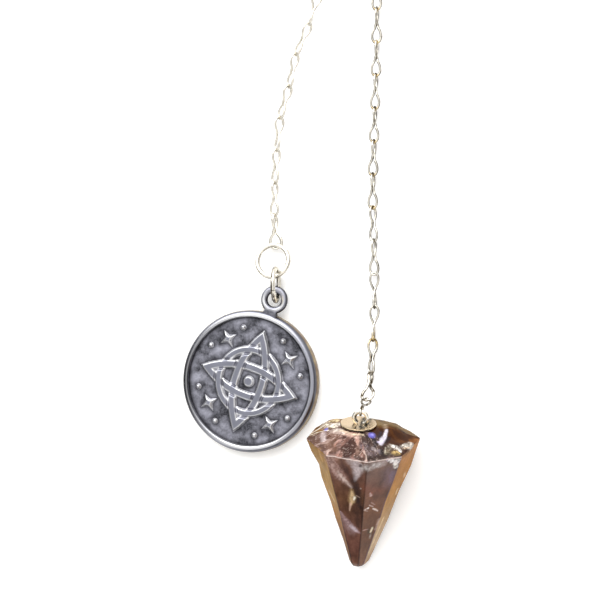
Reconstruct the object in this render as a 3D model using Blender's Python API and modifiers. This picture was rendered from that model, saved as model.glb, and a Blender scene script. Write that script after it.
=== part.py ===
# Dowsing pendulum laid out on a flat surface: a pointed smoky quartz on its side with a bail cap,
# a fine chain folded in a long loop, two jump rings and a round cast medal on its back.
# Lengths are in metres, angles in degrees. X runs across the layout, Y along it, Z up.
import math

import bmesh
import bpy
import numpy as np
from mathutils import Euler, Matrix, Vector

# Clearances
SEAT_GAP = 0.00005        # between two pieces that sit on or in each other
LINK_GAP = 0.00006        # between a ring or link and what it is threaded through
FLOOR_GAP = 0.00003       # under a wire that lies on the surface

# Stone: an eight-sided point with a thin girdle, cut by hand, so its corners are not quite even
GIRDLE_RADIUS = 0.00893
GIRDLE_BAND = 0.00024
CROWN_HEIGHT = 0.00205
TABLE_RADIUS = 0.00345
SHARP_DEPTH = 0.0259      # girdle to where the pavilion facets would meet
TIP_CUT = 0.0043          # length missing from that sharp tip
TIP_CHAMFER = 0.0007
TIP_END_SHARE = 0.6       # width of the blunt end, as a share of the width where its chamfer starts
TABLE_OFFSET = 0.0007     # the table and cap sit this far off the stone's axis
# one row for each girdle corner: angle round from the uppermost facet, share of the girdle radius
STONE_CORNERS = (
    (22.5, 1.00), (61.0, 1.00), (112.5, 1.05), (157.5, 1.00),
    (202.5, 1.00), (247.5, 1.00), (292.5, 1.00), (337.5, 1.00),
)
STONE_PLACE = (0.01222, -0.04165)   # foot of the girdle's centre on the surface
STONE_HEADING = 7.3                 # the crown end turned from +Y towards +X

# Cap: a round plate on the table, an upright eye and a peg glued into the stone
PLATE_RADIUS = 0.0029
PLATE_THICKNESS = 0.0004
PLATE_EDGE = 0.00012
EYE_RADIUS = 0.00105      # to the middle of the eye's wire
EYE_WIRE = 0.00075
EYE_SINK = 0.00045        # how deep the eye is soldered into the plate
EYE_SHIFT = 0.00035       # the eye sits this far off the plate's middle
EYE_TURN = 8.0
PEG_RADIUS = 0.00065
PEG_LENGTH = 0.0032

# Chain: each link has two eyes at right angles that meet in a waist
LINK_PITCH = 0.00542
LINK_COUNT = 34
LINK_WIRE = 0.00040
LINK_HALF_WIDTH = 0.00072  # from the link's axis to the middle of the wire at its widest
WAIST_HALF_WIDTH = 0.000215  # the two sides of the wire just clear each other there
JOINT_DEPTH = 0.00024      # between the middles of two wires that are hooked together
EYE_ARC_SPAN = 110.0       # the round end of an eye, each side of its tip
EYE_ARC_POINTS = 8
WIRE_SIDES = 5

# Both strands of the chain, a row for each point: x, y, lift over the surface, turn of the links.
# With no turn, the eye that a link starts with stands upright and the other lies flat.
LEFT_STRAND = (
    (-0.00495, -0.00570, 0.0, 30.0),
    (-0.00500, -0.00325, 0.0, 40.0),
    (-0.00490, -0.00070, 0.0, 55.0),
    (-0.00452, 0.00580, 0.0, 80.0),
    (-0.00415, 0.01030, 0.0, 65.0),
    (-0.00360, 0.01200, 0.0, 50.0),
    (-0.00285, 0.01410, 0.0, 40.0),
    (-0.00208, 0.01740, 0.0, 55.0),
    (-0.00142, 0.02040, 0.0, 75.0),
    (-0.00060, 0.02310, 0.0, 60.0),
    (0.00090, 0.02580, 0.0, 35.0),
    (0.00210, 0.02840, 0.0, 20.0),
)
RIGHT_STRAND = (
    (0.01275, 0.02530, 0.0, 0.0),
    (0.01255, 0.01550, 0.0, 0.0),
    (0.01238, 0.01010, 0.0, 0.0),
    (0.01221, 0.00470, 0.0, 0.0),
    (0.01205, -0.00090, 0.0, 5.0),
    (0.01212, -0.00610, 0.0, 10.0),
    (0.01230, -0.01150, 0.0, 55.0),
    (0.01234, -0.01720, 0.0, 90.0),
    (0.01238, -0.02330, 0.0, 90.0),
    (0.01215, -0.02560, 0.0, 85.0),
    (0.01180, -0.03110, 0.0, 15.0),
    (0.01210, -0.03524, 0.00328, 10.0),
)
FIRST_TURN = 15.0          # where the chain hooks on the flat ring
LAST_TURN = 120.0          # where the chain hooks on the cap's eye
LOOP_SIDE_X = 0.0034       # left side of the hidden loop
LOOP_SIDE_RISE = 0.0080    # where the hidden loop's straight sides start, past the strands' ends

# Jump rings: one lies nearly flat, the other stands on its edge and holds the medal
RING_RADIUS = 0.00271      # to the middle of the wire
RING_WIRE = 0.00078
RING_SEGMENTS = 28
RING_SIDES = 8
STANDING_LEAN = 8.0        # of the standing ring, towards +X
FLAT_RING_ANGLE = 33.0     # where the flat ring's wire lies in the standing ring, under its middle
FLAT_RING_SKEW = 20.0      # the flat ring's middle is turned this far towards -X from where it is held
CHAIN_HOOK_ANGLE = 8.0     # the chain hooks on the flat ring this far towards +X from its far side

# Medal: a cast disc on its back, with a raised rim, a relief and a loop
MEDAL_PLACE = (-0.00910, -0.03300)
MEDAL_TURN = 17.9          # its loop turned from +Y towards +X
MEDAL_RADIUS = 0.01188
MEDAL_THICKNESS = 0.0025
RIM_WIDTH = 0.00125
RIM_ROUNDING = 0.00028
FIELD_DEPTH = 0.00052
RELIEF_HEIGHT = 0.00040
RELIEF_STEP = 0.00004      # the cross oval stands this much over the ring, and the long oval over both
RELIEF_ROOT = 0.0003
MEDAL_STEPS = 56
LOOP_RADIUS = 0.00176      # to the middle of the cast loop's wire
LOOP_WIRE = 0.00117
LOOP_REACH = 0.01434       # from the medal's middle to the loop's
LOOP_HEIGHT = 0.00165      # of the middle of its wire over the surface
NECK_WIDTH = 0.0027        # at the medal's edge
NECK_TOP_WIDTH = 0.0020    # at the loop
NECK_THICKNESS = 0.0009

# Relief: two pointed ovals crossed through a ring, a boss, and a star with two pellets in each quarter
OVAL_HALF_LENGTH = 0.0090
OVAL_HALF_WIDTH = 0.0032
OVAL_BAND = 0.00155
OVAL_ARC_POINTS = 9
RELIEF_RING_RADIUS = 0.00535
RELIEF_RING_BAND = 0.00140
RELIEF_RING_POINTS = 32
BOSS_RADIUS = 0.00100
STAR_RADIUS = 0.00165
STAR_WAIST = 0.00065
STAR_PLACE = 0.00800
PELLET_RADIUS = 0.00050
PELLET_PLACE = 0.00905
PELLET_SPREAD = 21.0       # degrees to each side of the star

ROUTE_STEPS = 10           # points between two rows of a strand
LOOP_POINTS = 16
WELD = 1e-7                # points closer than this are one


def clear_scene():
    for existing in list(bpy.data.objects):
        bpy.data.objects.remove(existing, do_unlink=True)


def new_collection(name):
    collection = bpy.data.collections.new(name)
    bpy.context.scene.collection.children.link(collection)
    return collection


def finish_material(name, colour, roughness, metallic):
    material = bpy.data.materials.new(name)
    material.use_nodes = True
    shader = material.node_tree.nodes["Principled BSDF"]
    shader.inputs["Base Color"].default_value = (*colour, 1.0)
    shader.inputs["Roughness"].default_value = roughness
    shader.inputs["Metallic"].default_value = metallic
    return material


def add_object(name, data, collection):
    added = bpy.data.objects.new(name, data)
    collection.objects.link(added)
    return added


def evaluated_mesh(source):
    """The object's mesh with its modifiers or curve settings worked out, welded, in its own space."""
    graph = bpy.context.evaluated_depsgraph_get()
    mesh = bpy.data.meshes.new_from_object(source.evaluated_get(graph))
    welded = bmesh.new()
    welded.from_mesh(mesh)
    bmesh.ops.remove_doubles(welded, verts=welded.verts, dist=WELD)
    bmesh.ops.recalc_face_normals(welded, faces=welded.faces)
    welded.to_mesh(mesh)
    welded.free()
    return mesh


def as_mesh_object(source, collection):
    """Swaps a curve, or an object with modifiers, for a plain mesh object in the same place."""
    bpy.context.view_layer.update()
    mesh = evaluated_mesh(source)
    name = source.name
    place = source.matrix_world.copy()
    bpy.data.objects.remove(source, do_unlink=True)
    plain = add_object(name, mesh, collection)
    plain.matrix_world = place
    return plain


def as_helper(tool):
    tool.hide_render = True
    tool.display_type = "WIRE"
    return tool


def combine(target, tool, operation):
    modifier = target.modifiers.new(operation.title() + " " + tool.name, "BOOLEAN")
    modifier.operation = operation
    modifier.solver = "EXACT"
    modifier.object = tool


def finish_piece(piece, material, smooth_angle):
    piece.data.materials.clear()
    piece.data.materials.append(material)
    piece.data.shade_smooth()
    piece.data.set_sharp_from_angle(angle=math.radians(smooth_angle))


def torus(name, radius, wire, segments, sides, collection):
    bpy.ops.mesh.primitive_torus_add(
        major_radius=radius, minor_radius=wire / 2, major_segments=segments, minor_segments=sides
    )
    made = bpy.context.object
    made.name = name
    for owner in list(made.users_collection):
        owner.objects.unlink(made)
    collection.objects.link(made)
    return made


def cylinder(name, radius, low, high, sides, collection):
    shape = bmesh.new()
    middle = Matrix.Translation((0, 0, (low + high) / 2))
    bmesh.ops.create_cone(
        shape, cap_ends=True, segments=sides, radius1=radius, radius2=radius,
        depth=high - low, matrix=middle,
    )
    mesh = bpy.data.meshes.new(name)
    shape.to_mesh(mesh)
    shape.free()
    return add_object(name, mesh, collection)


def turned(name, profile, steps, collection):
    """A profile of (radius, height) points, outer side running down, turned about Z."""
    mesh = bpy.data.meshes.new(name)
    points = [(radius, 0.0, height) for radius, height in profile]
    mesh.from_pydata(points, [(i, i + 1) for i in range(len(points) - 1)], [])
    source = add_object(name, mesh, collection)
    screw = source.modifiers.new("Turn", "SCREW")
    screw.axis = "Z"
    screw.steps = steps
    screw.render_steps = steps
    screw.use_merge_vertices = True
    screw.merge_threshold = WELD
    return as_mesh_object(source, collection)


def flat_prism(name, outlines, low, high, collection):
    """Closed outlines in the XY plane, an inner one cutting a hole, between two heights."""
    curve = bpy.data.curves.new(name, "CURVE")
    curve.dimensions = "2D"
    curve.fill_mode = "BOTH"
    curve.extrude = (high - low) / 2
    for outline in outlines:
        spline = curve.splines.new("POLY")
        spline.points.add(len(outline) - 1)
        for point, (x, y) in zip(spline.points, outline):
            point.co = (x, y, 0.0, 1.0)
        spline.use_cyclic_u = True
    source = add_object(name, curve, collection)
    source.location.z = (low + high) / 2
    return as_mesh_object(source, collection)


# Stone and cap share one frame: its origin is the middle of the girdle's lower edge, Z runs out through the
# table, and the facet that the stone rests on faces +Y.
def corner_ring(share, height, shift=0.0):
    ring = []
    for angle, radius_share in STONE_CORNERS:
        radius = GIRDLE_RADIUS * radius_share * share
        x = radius * math.sin(math.radians(angle)) + shift
        ring.append((x, -radius * math.cos(math.radians(angle)), height))
    return ring


def facet_lean():
    """Angle between the stone's axis and the facet that it rests on."""
    half_step = math.radians((STONE_CORNERS[4][0] - STONE_CORNERS[3][0]) / 2)
    return math.atan2(GIRDLE_RADIUS * math.cos(half_step), SHARP_DEPTH)


def stone_frame():
    lean = facet_lean()
    half_step = math.radians((STONE_CORNERS[4][0] - STONE_CORNERS[3][0]) / 2)
    height = GIRDLE_RADIUS * math.cos(half_step) * math.cos(lean)
    frame = bpy.data.objects.new("stone_frame", None)
    frame.empty_display_size = GIRDLE_RADIUS
    frame.location = (*STONE_PLACE, height)
    frame.rotation_euler = Euler((lean - math.pi / 2, 0.0, -math.radians(STONE_HEADING)), "XYZ")
    return frame


def table_height():
    return GIRDLE_BAND + CROWN_HEIGHT


def build_stone(collection, cutters, material):
    tip_share = TIP_CUT / SHARP_DEPTH
    end_share = tip_share * TIP_END_SHARE
    tip_height = TIP_CUT - SHARP_DEPTH
    rings = (
        corner_ring(end_share, tip_height - TIP_CHAMFER),
        corner_ring(tip_share, tip_height),
        corner_ring(1.0, 0.0),
        corner_ring(1.0, GIRDLE_BAND),
        corner_ring(TABLE_RADIUS / GIRDLE_RADIUS, table_height(), -TABLE_OFFSET),
    )
    sides = len(STONE_CORNERS)
    shape = bmesh.new()
    loft = [[shape.verts.new(point) for point in ring] for ring in rings]
    for lower, upper in zip(loft, loft[1:]):
        for i in range(sides):
            j = (i + 1) % sides
            shape.faces.new((lower[i], lower[j], upper[j], upper[i]))
    shape.faces.new(loft[0])
    shape.faces.new(loft[-1])
    bmesh.ops.recalc_face_normals(shape, faces=shape.faces)
    mesh = bpy.data.meshes.new("stone")
    shape.to_mesh(mesh)
    shape.free()
    stone = add_object("stone", mesh, collection)
    mesh.materials.append(material)

    hole = cylinder(
        "peg_hole", PEG_RADIUS + SEAT_GAP, table_height() - PEG_LENGTH - SEAT_GAP,
        table_height() + PLATE_THICKNESS, 16, cutters,
    )
    hole.data.transform(Matrix.Translation((-TABLE_OFFSET, 0, 0)))
    as_helper(hole)
    combine(stone, hole, "DIFFERENCE")
    return stone, hole


def eye_centre_height():
    plate_top = table_height() + SEAT_GAP + PLATE_THICKNESS
    return plate_top + EYE_RADIUS + EYE_WIRE / 2 - EYE_SINK


def build_cap(collection, cutters, material):
    low = table_height() + SEAT_GAP
    high = low + PLATE_THICKNESS
    profile = (
        (0.0, high), (PLATE_RADIUS - PLATE_EDGE, high), (PLATE_RADIUS, high - PLATE_EDGE),
        (PLATE_RADIUS, low + PLATE_EDGE), (PLATE_RADIUS - PLATE_EDGE, low), (0.0, low),
    )
    cap = turned("cap", profile, 32, collection)
    eye = torus("cap_eye", EYE_RADIUS, EYE_WIRE, 20, 8, cutters)
    upright = Euler((math.pi / 2, 0.0, math.radians(EYE_TURN))).to_matrix().to_4x4()
    eye.data.transform(Matrix.Translation((EYE_SHIFT, 0, eye_centre_height())) @ upright)
    peg = cylinder("cap_peg", PEG_RADIUS, table_height() - PEG_LENGTH, (low + high) / 2, 14, cutters)
    for solid in (cap, eye, peg):
        solid.data.transform(Matrix.Translation((-TABLE_OFFSET, 0, 0)))
    for tool in (eye, peg):
        as_helper(tool)
        combine(cap, tool, "UNION")
    finish_piece(cap, material, 40)
    return cap, eye, peg


# Rings
def standing_ring_place(loop_wire):
    """Middle of the ring that stands in the medal's loop, given the middle of the loop's far wire."""
    lean = math.radians(STANDING_LEAN)
    height = RING_RADIUS * math.cos(lean) + RING_WIRE / 2 + FLOOR_GAP
    reach = RING_RADIUS - RING_WIRE / 2 - LOOP_WIRE / 2 - LINK_GAP
    drop = (height - loop_wire.z) / math.cos(lean)
    along = math.sqrt(reach * reach - drop * drop)
    return Vector((loop_wire.x + drop * math.sin(lean), loop_wire.y + along, height))


def build_standing_ring(collection, material, place):
    ring = torus("standing_ring", RING_RADIUS, RING_WIRE, RING_SEGMENTS, RING_SIDES, collection)
    ring.location = place
    ring.rotation_euler = Euler((0.0, math.radians(90.0 + STANDING_LEAN), 0.0))
    finish_piece(ring, material, 60)
    return ring


def flat_ring_place(standing):
    """Middle and tilt of the flat ring, and the middle of its wire where the chain hooks on."""
    lean = math.radians(STANDING_LEAN)
    below = math.radians(FLAT_RING_ANGLE)
    skew = math.radians(FLAT_RING_SKEW)
    hook = math.radians(CHAIN_HOOK_ANGLE)
    reach = RING_RADIUS - (RING_WIRE + LINK_GAP) / math.cos(skew)
    drop = reach * math.sin(below)
    held = standing + Vector((
        -drop * math.sin(lean), reach * math.cos(below), -drop * math.cos(lean)
    ))
    fall = held.z - strand_height()
    tilt = math.asin(fall / (RING_RADIUS * (math.cos(skew) + math.cos(hook))))
    downhill = Vector((0, math.cos(tilt), -math.sin(tilt)))
    sideways = Vector((1, 0, 0))
    middle = held + RING_RADIUS * (downhill * math.cos(skew) - sideways * math.sin(skew))
    hooked = middle + RING_RADIUS * (downhill * math.cos(hook) + sideways * math.sin(hook))
    return middle, tilt, hooked


def build_flat_ring(collection, material, middle, tilt):
    ring = torus("flat_ring", RING_RADIUS, RING_WIRE, RING_SEGMENTS, RING_SIDES, collection)
    ring.location = middle
    ring.rotation_euler = Euler((-tilt, 0.0, 0.0))
    finish_piece(ring, material, 60)
    return ring


# Chain
def strand_height():
    """Height of a lying strand's middle: a link's upright eye just clears the surface."""
    return LINK_HALF_WIDTH + LINK_WIRE / 2 + FLOOR_GAP


def hidden_loop(rise):
    """Points from the left strand's end round to the right strand's end, with the given straight sides."""
    left_x, left_y = LEFT_STRAND[-1][:2]
    right_x, right_y = RIGHT_STRAND[0][:2]
    start = max(left_y, right_y) + LOOP_SIDE_RISE
    half = (right_x - LOOP_SIDE_X) / 2
    left_turn, right_turn = LEFT_STRAND[-1][3], RIGHT_STRAND[0][3]
    rows = []
    for share in (0.0, 0.5, 1.0):
        rows.append((LOOP_SIDE_X, start + rise * share))
    for i in range(1, LOOP_POINTS):
        angle = math.pi * i / LOOP_POINTS
        rows.append((
            LOOP_SIDE_X + half - half * math.cos(angle), start + rise + half * math.sin(angle)
        ))
    for share in (1.0, 0.5, 0.0):
        rows.append((right_x, start + rise * share))
    turns = np.linspace(left_turn, right_turn, len(rows) + 2)[1:-1]
    return [(x, y, 0.0, turn) for (x, y), turn in zip(rows, turns)]


def smooth_route(rows):
    """Centripetal curve through the rows, as an array of points with the links' turn in the last column."""
    points = np.array(rows)
    before = 2 * points[0] - points[1]
    after = 2 * points[-1] - points[-2]
    points = np.vstack([before, points, after])
    smooth = []
    for p0, p1, p2, p3 in zip(points, points[1:], points[2:], points[3:]):
        t1 = math.sqrt(np.linalg.norm(p1[:3] - p0[:3]))
        t2 = t1 + math.sqrt(np.linalg.norm(p2[:3] - p1[:3]))
        t3 = t2 + math.sqrt(np.linalg.norm(p3[:3] - p2[:3]))
        for t in np.linspace(t1, t2, ROUTE_STEPS, endpoint=False):
            a1 = p0 + (p1 - p0) * t / t1
            a2 = p1 + (p2 - p1) * (t - t1) / (t2 - t1)
            a3 = p2 + (p3 - p2) * (t - t2) / (t3 - t2)
            b1 = a1 + (a2 - a1) * t / t2
            b2 = a2 + (a3 - a2) * (t - t1) / (t3 - t1)
            smooth.append(b1 + (b2 - b1) * (t - t1) / (t2 - t1))
    smooth.append(points[-2])
    return np.array(smooth)


def joints_along(route):
    """Points one pitch apart along the route, and what is left over at its end."""
    joints = [route[0]]
    for start, end in zip(route, route[1:]):
        while np.linalg.norm(end[:3] - joints[-1][:3]) >= LINK_PITCH:
            low, high = 0.0, 1.0
            for _ in range(40):
                middle = (low + high) / 2
                point = start + (end - start) * middle
                if np.linalg.norm(point[:3] - joints[-1][:3]) < LINK_PITCH:
                    low = middle
                else:
                    high = middle
            joints.append(start + (end - start) * high)
    return joints, float(np.linalg.norm(route[-1][:3] - joints[-1][:3]))


def chain_joints(first, last):
    """All joints of the chain, with the hidden loop as long as the number of links needs."""
    height = strand_height()
    rise = 0.02
    for _ in range(12):
        rows = [(*first, FIRST_TURN)]
        rows += [(x, y, height + lift, turn) for x, y, lift, turn in LEFT_STRAND]
        rows += [(x, y, height + lift, turn) for x, y, lift, turn in hidden_loop(rise)]
        rows += [(x, y, height + lift, turn) for x, y, lift, turn in RIGHT_STRAND]
        rows += [(*last, LAST_TURN)]
        joints, rest = joints_along(smooth_route(rows))
        spare = LINK_COUNT * LINK_PITCH - (len(joints) - 1) * LINK_PITCH - rest
        rise += spare / 2
    joints = joints[: LINK_COUNT]
    joints.append(np.array([*last, LAST_TURN]))
    return joints


def link_wire_points():
    """Closed path of one link's wire, as (along, across first, across second): round the first eye, over to
    the second through one side of the waist, round it, and back through the other side."""
    half = (LINK_PITCH + JOINT_DEPTH) / 2
    step = 2 * EYE_ARC_SPAN / (EYE_ARC_POINTS - 1)
    radius = LINK_HALF_WIDTH / math.cos(math.radians(step / 2))
    centre = half - LINK_HALF_WIDTH
    waist = WAIST_HALF_WIDTH * math.sqrt(0.5)
    arc = []
    for i in range(EYE_ARC_POINTS):
        angle = math.radians(EYE_ARC_SPAN - step * i)
        arc.append((centre + radius * math.cos(angle), radius * math.sin(angle)))
    path = [(-along, across, 0.0) for along, across in arc]
    path.append((0.0, -waist, -waist))
    path += [(along, 0.0, -across) for along, across in arc]
    path.append((0.0, waist, waist))
    return path


def links_object(name, links, section, collection):
    curve = bpy.data.curves.new(name, "CURVE")
    curve.dimensions = "3D"
    curve.bevel_mode = "OBJECT"
    curve.bevel_object = section
    for link in links:
        spline = curve.splines.new("POLY")
        spline.points.add(len(link) - 1)
        for point, place in zip(spline.points, link):
            point.co = (*place, 1.0)
        spline.use_cyclic_u = True
    return as_mesh_object(add_object(name, curve, collection), collection)


def wire_section(cutters):
    curve = bpy.data.curves.new("wire_section", "CURVE")
    curve.dimensions = "2D"
    spline = curve.splines.new("POLY")
    spline.points.add(WIRE_SIDES - 1)
    for i, point in enumerate(spline.points):
        angle = 2 * math.pi * i / WIRE_SIDES
        point.co = (LINK_WIRE / 2 * math.cos(angle), LINK_WIRE / 2 * math.sin(angle), 0.0, 1.0)
    spline.use_cyclic_u = True
    return as_helper(add_object("wire_section", curve, cutters))


def build_chain(collection, cutters, material, joints):
    path = link_wire_points()
    links = []
    for start, end in zip(joints, joints[1:]):
        near, far = Vector(start[:3]), Vector(end[:3])
        along = (far - near).normalized()
        side = along.cross(Vector((0, 0, 1))).normalized()
        upward = side.cross(along)
        turn = math.radians((start[3] + end[3]) / 2)
        first = upward * math.cos(turn) + side * math.sin(turn)
        second = side * math.cos(turn) - upward * math.sin(turn)
        middle = (near + far) / 2
        links.append([middle + along * s + first * a + second * b for s, a, b in path])
    section = wire_section(cutters)
    chain = links_object("chain", links[0::2], section, collection)
    others = as_helper(links_object("chain_other_links", links[1::2], section, cutters))
    combine(chain, others, "UNION")
    finish_piece(chain, material, 80)
    return chain


# Medal, in its own frame: the middle of its back at the origin, its loop towards +Y
def oval_outline(half_length, half_width):
    """Two equal arcs that meet in points at both ends of the X axis."""
    radius = (half_length**2 + half_width**2) / (2 * half_width)
    reach = math.asin(half_length / radius)
    angles = np.linspace(-reach, reach, OVAL_ARC_POINTS + 1)[:-1]
    upper = [(radius * math.sin(a), radius * math.cos(a) - radius + half_width) for a in angles]
    return upper + [(-x, -y) for x, y in upper]


def round_outline(radius, points, centre=(0.0, 0.0)):
    angles = [2 * math.pi * i / points for i in range(points)]
    return [(centre[0] + radius * math.cos(a), centre[1] + radius * math.sin(a)) for a in angles]


def star_outline(radius, waist, centre, turn):
    outline = []
    for i in range(8):
        reach = radius if i % 2 == 0 else waist
        angle = turn + i * math.pi / 4
        outline.append((centre[0] + reach * math.cos(angle), centre[1] + reach * math.sin(angle)))
    return outline


def turned_outline(outline, angle):
    c, s = math.cos(angle), math.sin(angle)
    return [(x * c - y * s, x * s + y * c) for x, y in outline]


def oval_band():
    """Outer and inner edge of one oval's band. The inner oval keeps the band's width at its flanks."""
    inner_width = OVAL_HALF_WIDTH - OVAL_BAND
    slope = 2 * math.atan2(OVAL_HALF_WIDTH, OVAL_HALF_LENGTH)
    inner_length = OVAL_HALF_LENGTH - OVAL_BAND / math.sin(slope)
    return (
        oval_outline(OVAL_HALF_LENGTH, OVAL_HALF_WIDTH),
        oval_outline(inner_length, inner_width),
    )


def relief_shapes():
    """Name, outlines and height over the field of every raised figure on the medal."""
    outer, inner = oval_band()
    top = RELIEF_HEIGHT
    cross = [turned_outline(outer, math.pi / 2), turned_outline(inner, math.pi / 2)]
    ring = [
        round_outline(RELIEF_RING_RADIUS + RELIEF_RING_BAND / 2, RELIEF_RING_POINTS),
        round_outline(RELIEF_RING_RADIUS - RELIEF_RING_BAND / 2, RELIEF_RING_POINTS),
    ]
    shapes = [
        ("long_oval", [outer, inner], top),
        ("cross_oval", cross, top - RELIEF_STEP),
        ("relief_ring", ring, top - 2 * RELIEF_STEP),
        ("boss", [round_outline(BOSS_RADIUS, 16)], top),
    ]
    for quarter in range(4):
        angle = math.pi / 4 + quarter * math.pi / 2
        centre = (STAR_PLACE * math.cos(angle), STAR_PLACE * math.sin(angle))
        shapes.append((f"star_{quarter}", [star_outline(STAR_RADIUS, STAR_WAIST, centre, angle)], top))
        for side in (-1, 1):
            spread = angle + side * math.radians(PELLET_SPREAD)
            spot = (PELLET_PLACE * math.cos(spread), PELLET_PLACE * math.sin(spread))
            shapes.append((f"pellet_{quarter}_{side}", [round_outline(PELLET_RADIUS, 10, spot)], top))
    return shapes


def medal_profile():
    field = MEDAL_THICKNESS - FIELD_DEPTH
    inner = MEDAL_RADIUS - RIM_WIDTH
    r = RIM_ROUNDING
    corner = r * (1 - math.sqrt(0.5))
    return (
        (0.0, field), (inner - FIELD_DEPTH / 2, field), (inner, MEDAL_THICKNESS - r / 2),
        (inner + r, MEDAL_THICKNESS), (MEDAL_RADIUS - r, MEDAL_THICKNESS),
        (MEDAL_RADIUS - corner, MEDAL_THICKNESS - corner), (MEDAL_RADIUS, MEDAL_THICKNESS - r),
        (MEDAL_RADIUS, r), (MEDAL_RADIUS - corner, corner), (MEDAL_RADIUS - r, 0.0), (0.0, 0.0),
    )


def build_medal(collection, cutters, material):
    medal = turned("medal", medal_profile(), MEDAL_STEPS, collection)
    field = MEDAL_THICKNESS - FIELD_DEPTH
    tools = []
    for name, outlines, height in relief_shapes():
        tools.append(flat_prism(name, outlines, field - RELIEF_ROOT, field + height, cutters))
    loop = torus("medal_loop", LOOP_RADIUS, LOOP_WIRE, 24, 10, cutters)
    loop.data.transform(Matrix.Translation((0, LOOP_REACH, LOOP_HEIGHT)))
    near = MEDAL_RADIUS - RIM_WIDTH / 2
    far = LOOP_REACH - LOOP_RADIUS
    half, top_half = NECK_WIDTH / 2, NECK_TOP_WIDTH / 2
    neck_outline = [(-half, near), (half, near), (top_half, far), (-top_half, far)]
    low = LOOP_HEIGHT - NECK_THICKNESS / 2
    neck = flat_prism("neck", [neck_outline], low, low + NECK_THICKNESS, cutters)
    tools += [neck, loop]
    for tool in tools:
        as_helper(tool)
        combine(medal, tool, "UNION")
    finish_piece(medal, material, 35)
    for piece in (medal, *tools):
        lift = piece.location.z
        piece.location = (*MEDAL_PLACE, lift)
        piece.rotation_euler = (0.0, 0.0, -math.radians(MEDAL_TURN))
    return medal


def medal_loop_wire():
    """Middle of the loop's wire at its far side."""
    reach = LOOP_REACH + LOOP_RADIUS
    turn = math.radians(MEDAL_TURN)
    return Vector((
        MEDAL_PLACE[0] + reach * math.sin(turn), MEDAL_PLACE[1] + reach * math.cos(turn), LOOP_HEIGHT
    ))


def stand_on_origin(pieces, movable):
    """Moves everything so that the middle of the whole box's underside is at the origin."""
    bpy.context.view_layer.update()
    graph = bpy.context.evaluated_depsgraph_get()
    corners = []
    for piece in pieces:
        evaluated = piece.evaluated_get(graph)
        mesh = evaluated.to_mesh()
        corners += [evaluated.matrix_world @ vertex.co for vertex in mesh.vertices]
        evaluated.to_mesh_clear()
    low = [min(corner[axis] for corner in corners) for axis in range(3)]
    high = [max(corner[axis] for corner in corners) for axis in range(3)]
    shift = Vector((-(low[0] + high[0]) / 2, -(low[1] + high[1]) / 2, -low[2]))
    for moved in movable:
        moved.location += shift


def main():
    clear_scene()
    pieces = new_collection("dowsing_pendulum")
    cutters = new_collection("cutters")
    quartz = finish_material("smoky quartz", (0.16, 0.075, 0.035), 0.08, 0.0)
    silver = finish_material("silver plate", (0.78, 0.75, 0.68), 0.18, 1.0)
    pewter = finish_material("antiqued pewter", (0.36, 0.36, 0.40), 0.32, 1.0)

    frame = stone_frame()
    pieces.objects.link(frame)
    stone, hole = build_stone(pieces, cutters, quartz)
    cap, cap_eye, cap_peg = build_cap(pieces, cutters, silver)
    for child in (stone, hole, cap, cap_eye, cap_peg):
        child.parent = frame
    bpy.context.view_layer.update()

    medal = build_medal(pieces, cutters, pewter)
    standing_place = standing_ring_place(medal_loop_wire())
    standing = build_standing_ring(pieces, silver, standing_place)
    middle, tilt, hooked = flat_ring_place(standing_place)
    flat_ring = build_flat_ring(pieces, silver, middle, tilt)

    away = Vector((0, 1, 0))
    ring_clearance = (RING_WIRE + LINK_WIRE) / 2 + LINK_GAP
    ring_offset = ring_clearance / math.cos(math.radians(CHAIN_HOOK_ANGLE)) - JOINT_DEPTH / 2
    first_joint = hooked - away * ring_offset
    eye_top = frame.matrix_world @ Vector((EYE_SHIFT - TABLE_OFFSET, 0, eye_centre_height() + EYE_RADIUS))
    towards = Vector((RIGHT_STRAND[-1][0], RIGHT_STRAND[-1][1], RIGHT_STRAND[-1][2] + strand_height()))
    arriving = (eye_top - towards).normalized()
    eye_offset = EYE_WIRE / 2 + LINK_WIRE / 2 + LINK_GAP - JOINT_DEPTH / 2
    last_joint = eye_top + arriving * eye_offset
    chain = build_chain(pieces, cutters, silver, chain_joints(first_joint, last_joint))

    parts = [stone, cap, chain, flat_ring, standing, medal]
    roots = [item for item in bpy.data.objects if item.parent is None]
    stand_on_origin(parts, roots)


main()
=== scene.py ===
import math
import random

import bmesh
import bpy
import numpy as np
from mathutils import Euler, Matrix, Vector, noise


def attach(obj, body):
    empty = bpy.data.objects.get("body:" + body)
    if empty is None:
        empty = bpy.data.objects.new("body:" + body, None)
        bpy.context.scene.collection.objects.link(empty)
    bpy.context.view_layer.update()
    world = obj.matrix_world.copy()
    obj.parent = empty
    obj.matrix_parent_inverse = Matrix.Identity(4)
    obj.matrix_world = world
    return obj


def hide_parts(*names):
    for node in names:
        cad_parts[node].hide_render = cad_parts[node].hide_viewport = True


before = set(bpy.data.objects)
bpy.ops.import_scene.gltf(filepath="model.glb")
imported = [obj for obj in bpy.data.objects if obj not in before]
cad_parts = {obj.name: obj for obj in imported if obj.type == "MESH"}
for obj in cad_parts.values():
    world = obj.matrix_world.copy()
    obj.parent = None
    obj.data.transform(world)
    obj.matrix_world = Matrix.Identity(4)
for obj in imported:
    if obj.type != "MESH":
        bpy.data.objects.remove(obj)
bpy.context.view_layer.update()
print("frame loaded:", ", ".join(sorted(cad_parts)))

# All sizes below are in millimetres and all angles in degrees, and the meshes are in metres.
mm = 0.001
layoutShift = Vector((0.002, 0.015, 0.0)) * mm  # from the places below to the CAD frame's middle


def linearColour(hexText):
    channels = [int(hexText[i:i + 2], 16) / 255 for i in (1, 3, 5)]
    return (*[c / 12.92 if c <= 0.04045 else ((c + 0.055) / 1.055) ** 2.4 for c in channels], 1.0)


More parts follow.
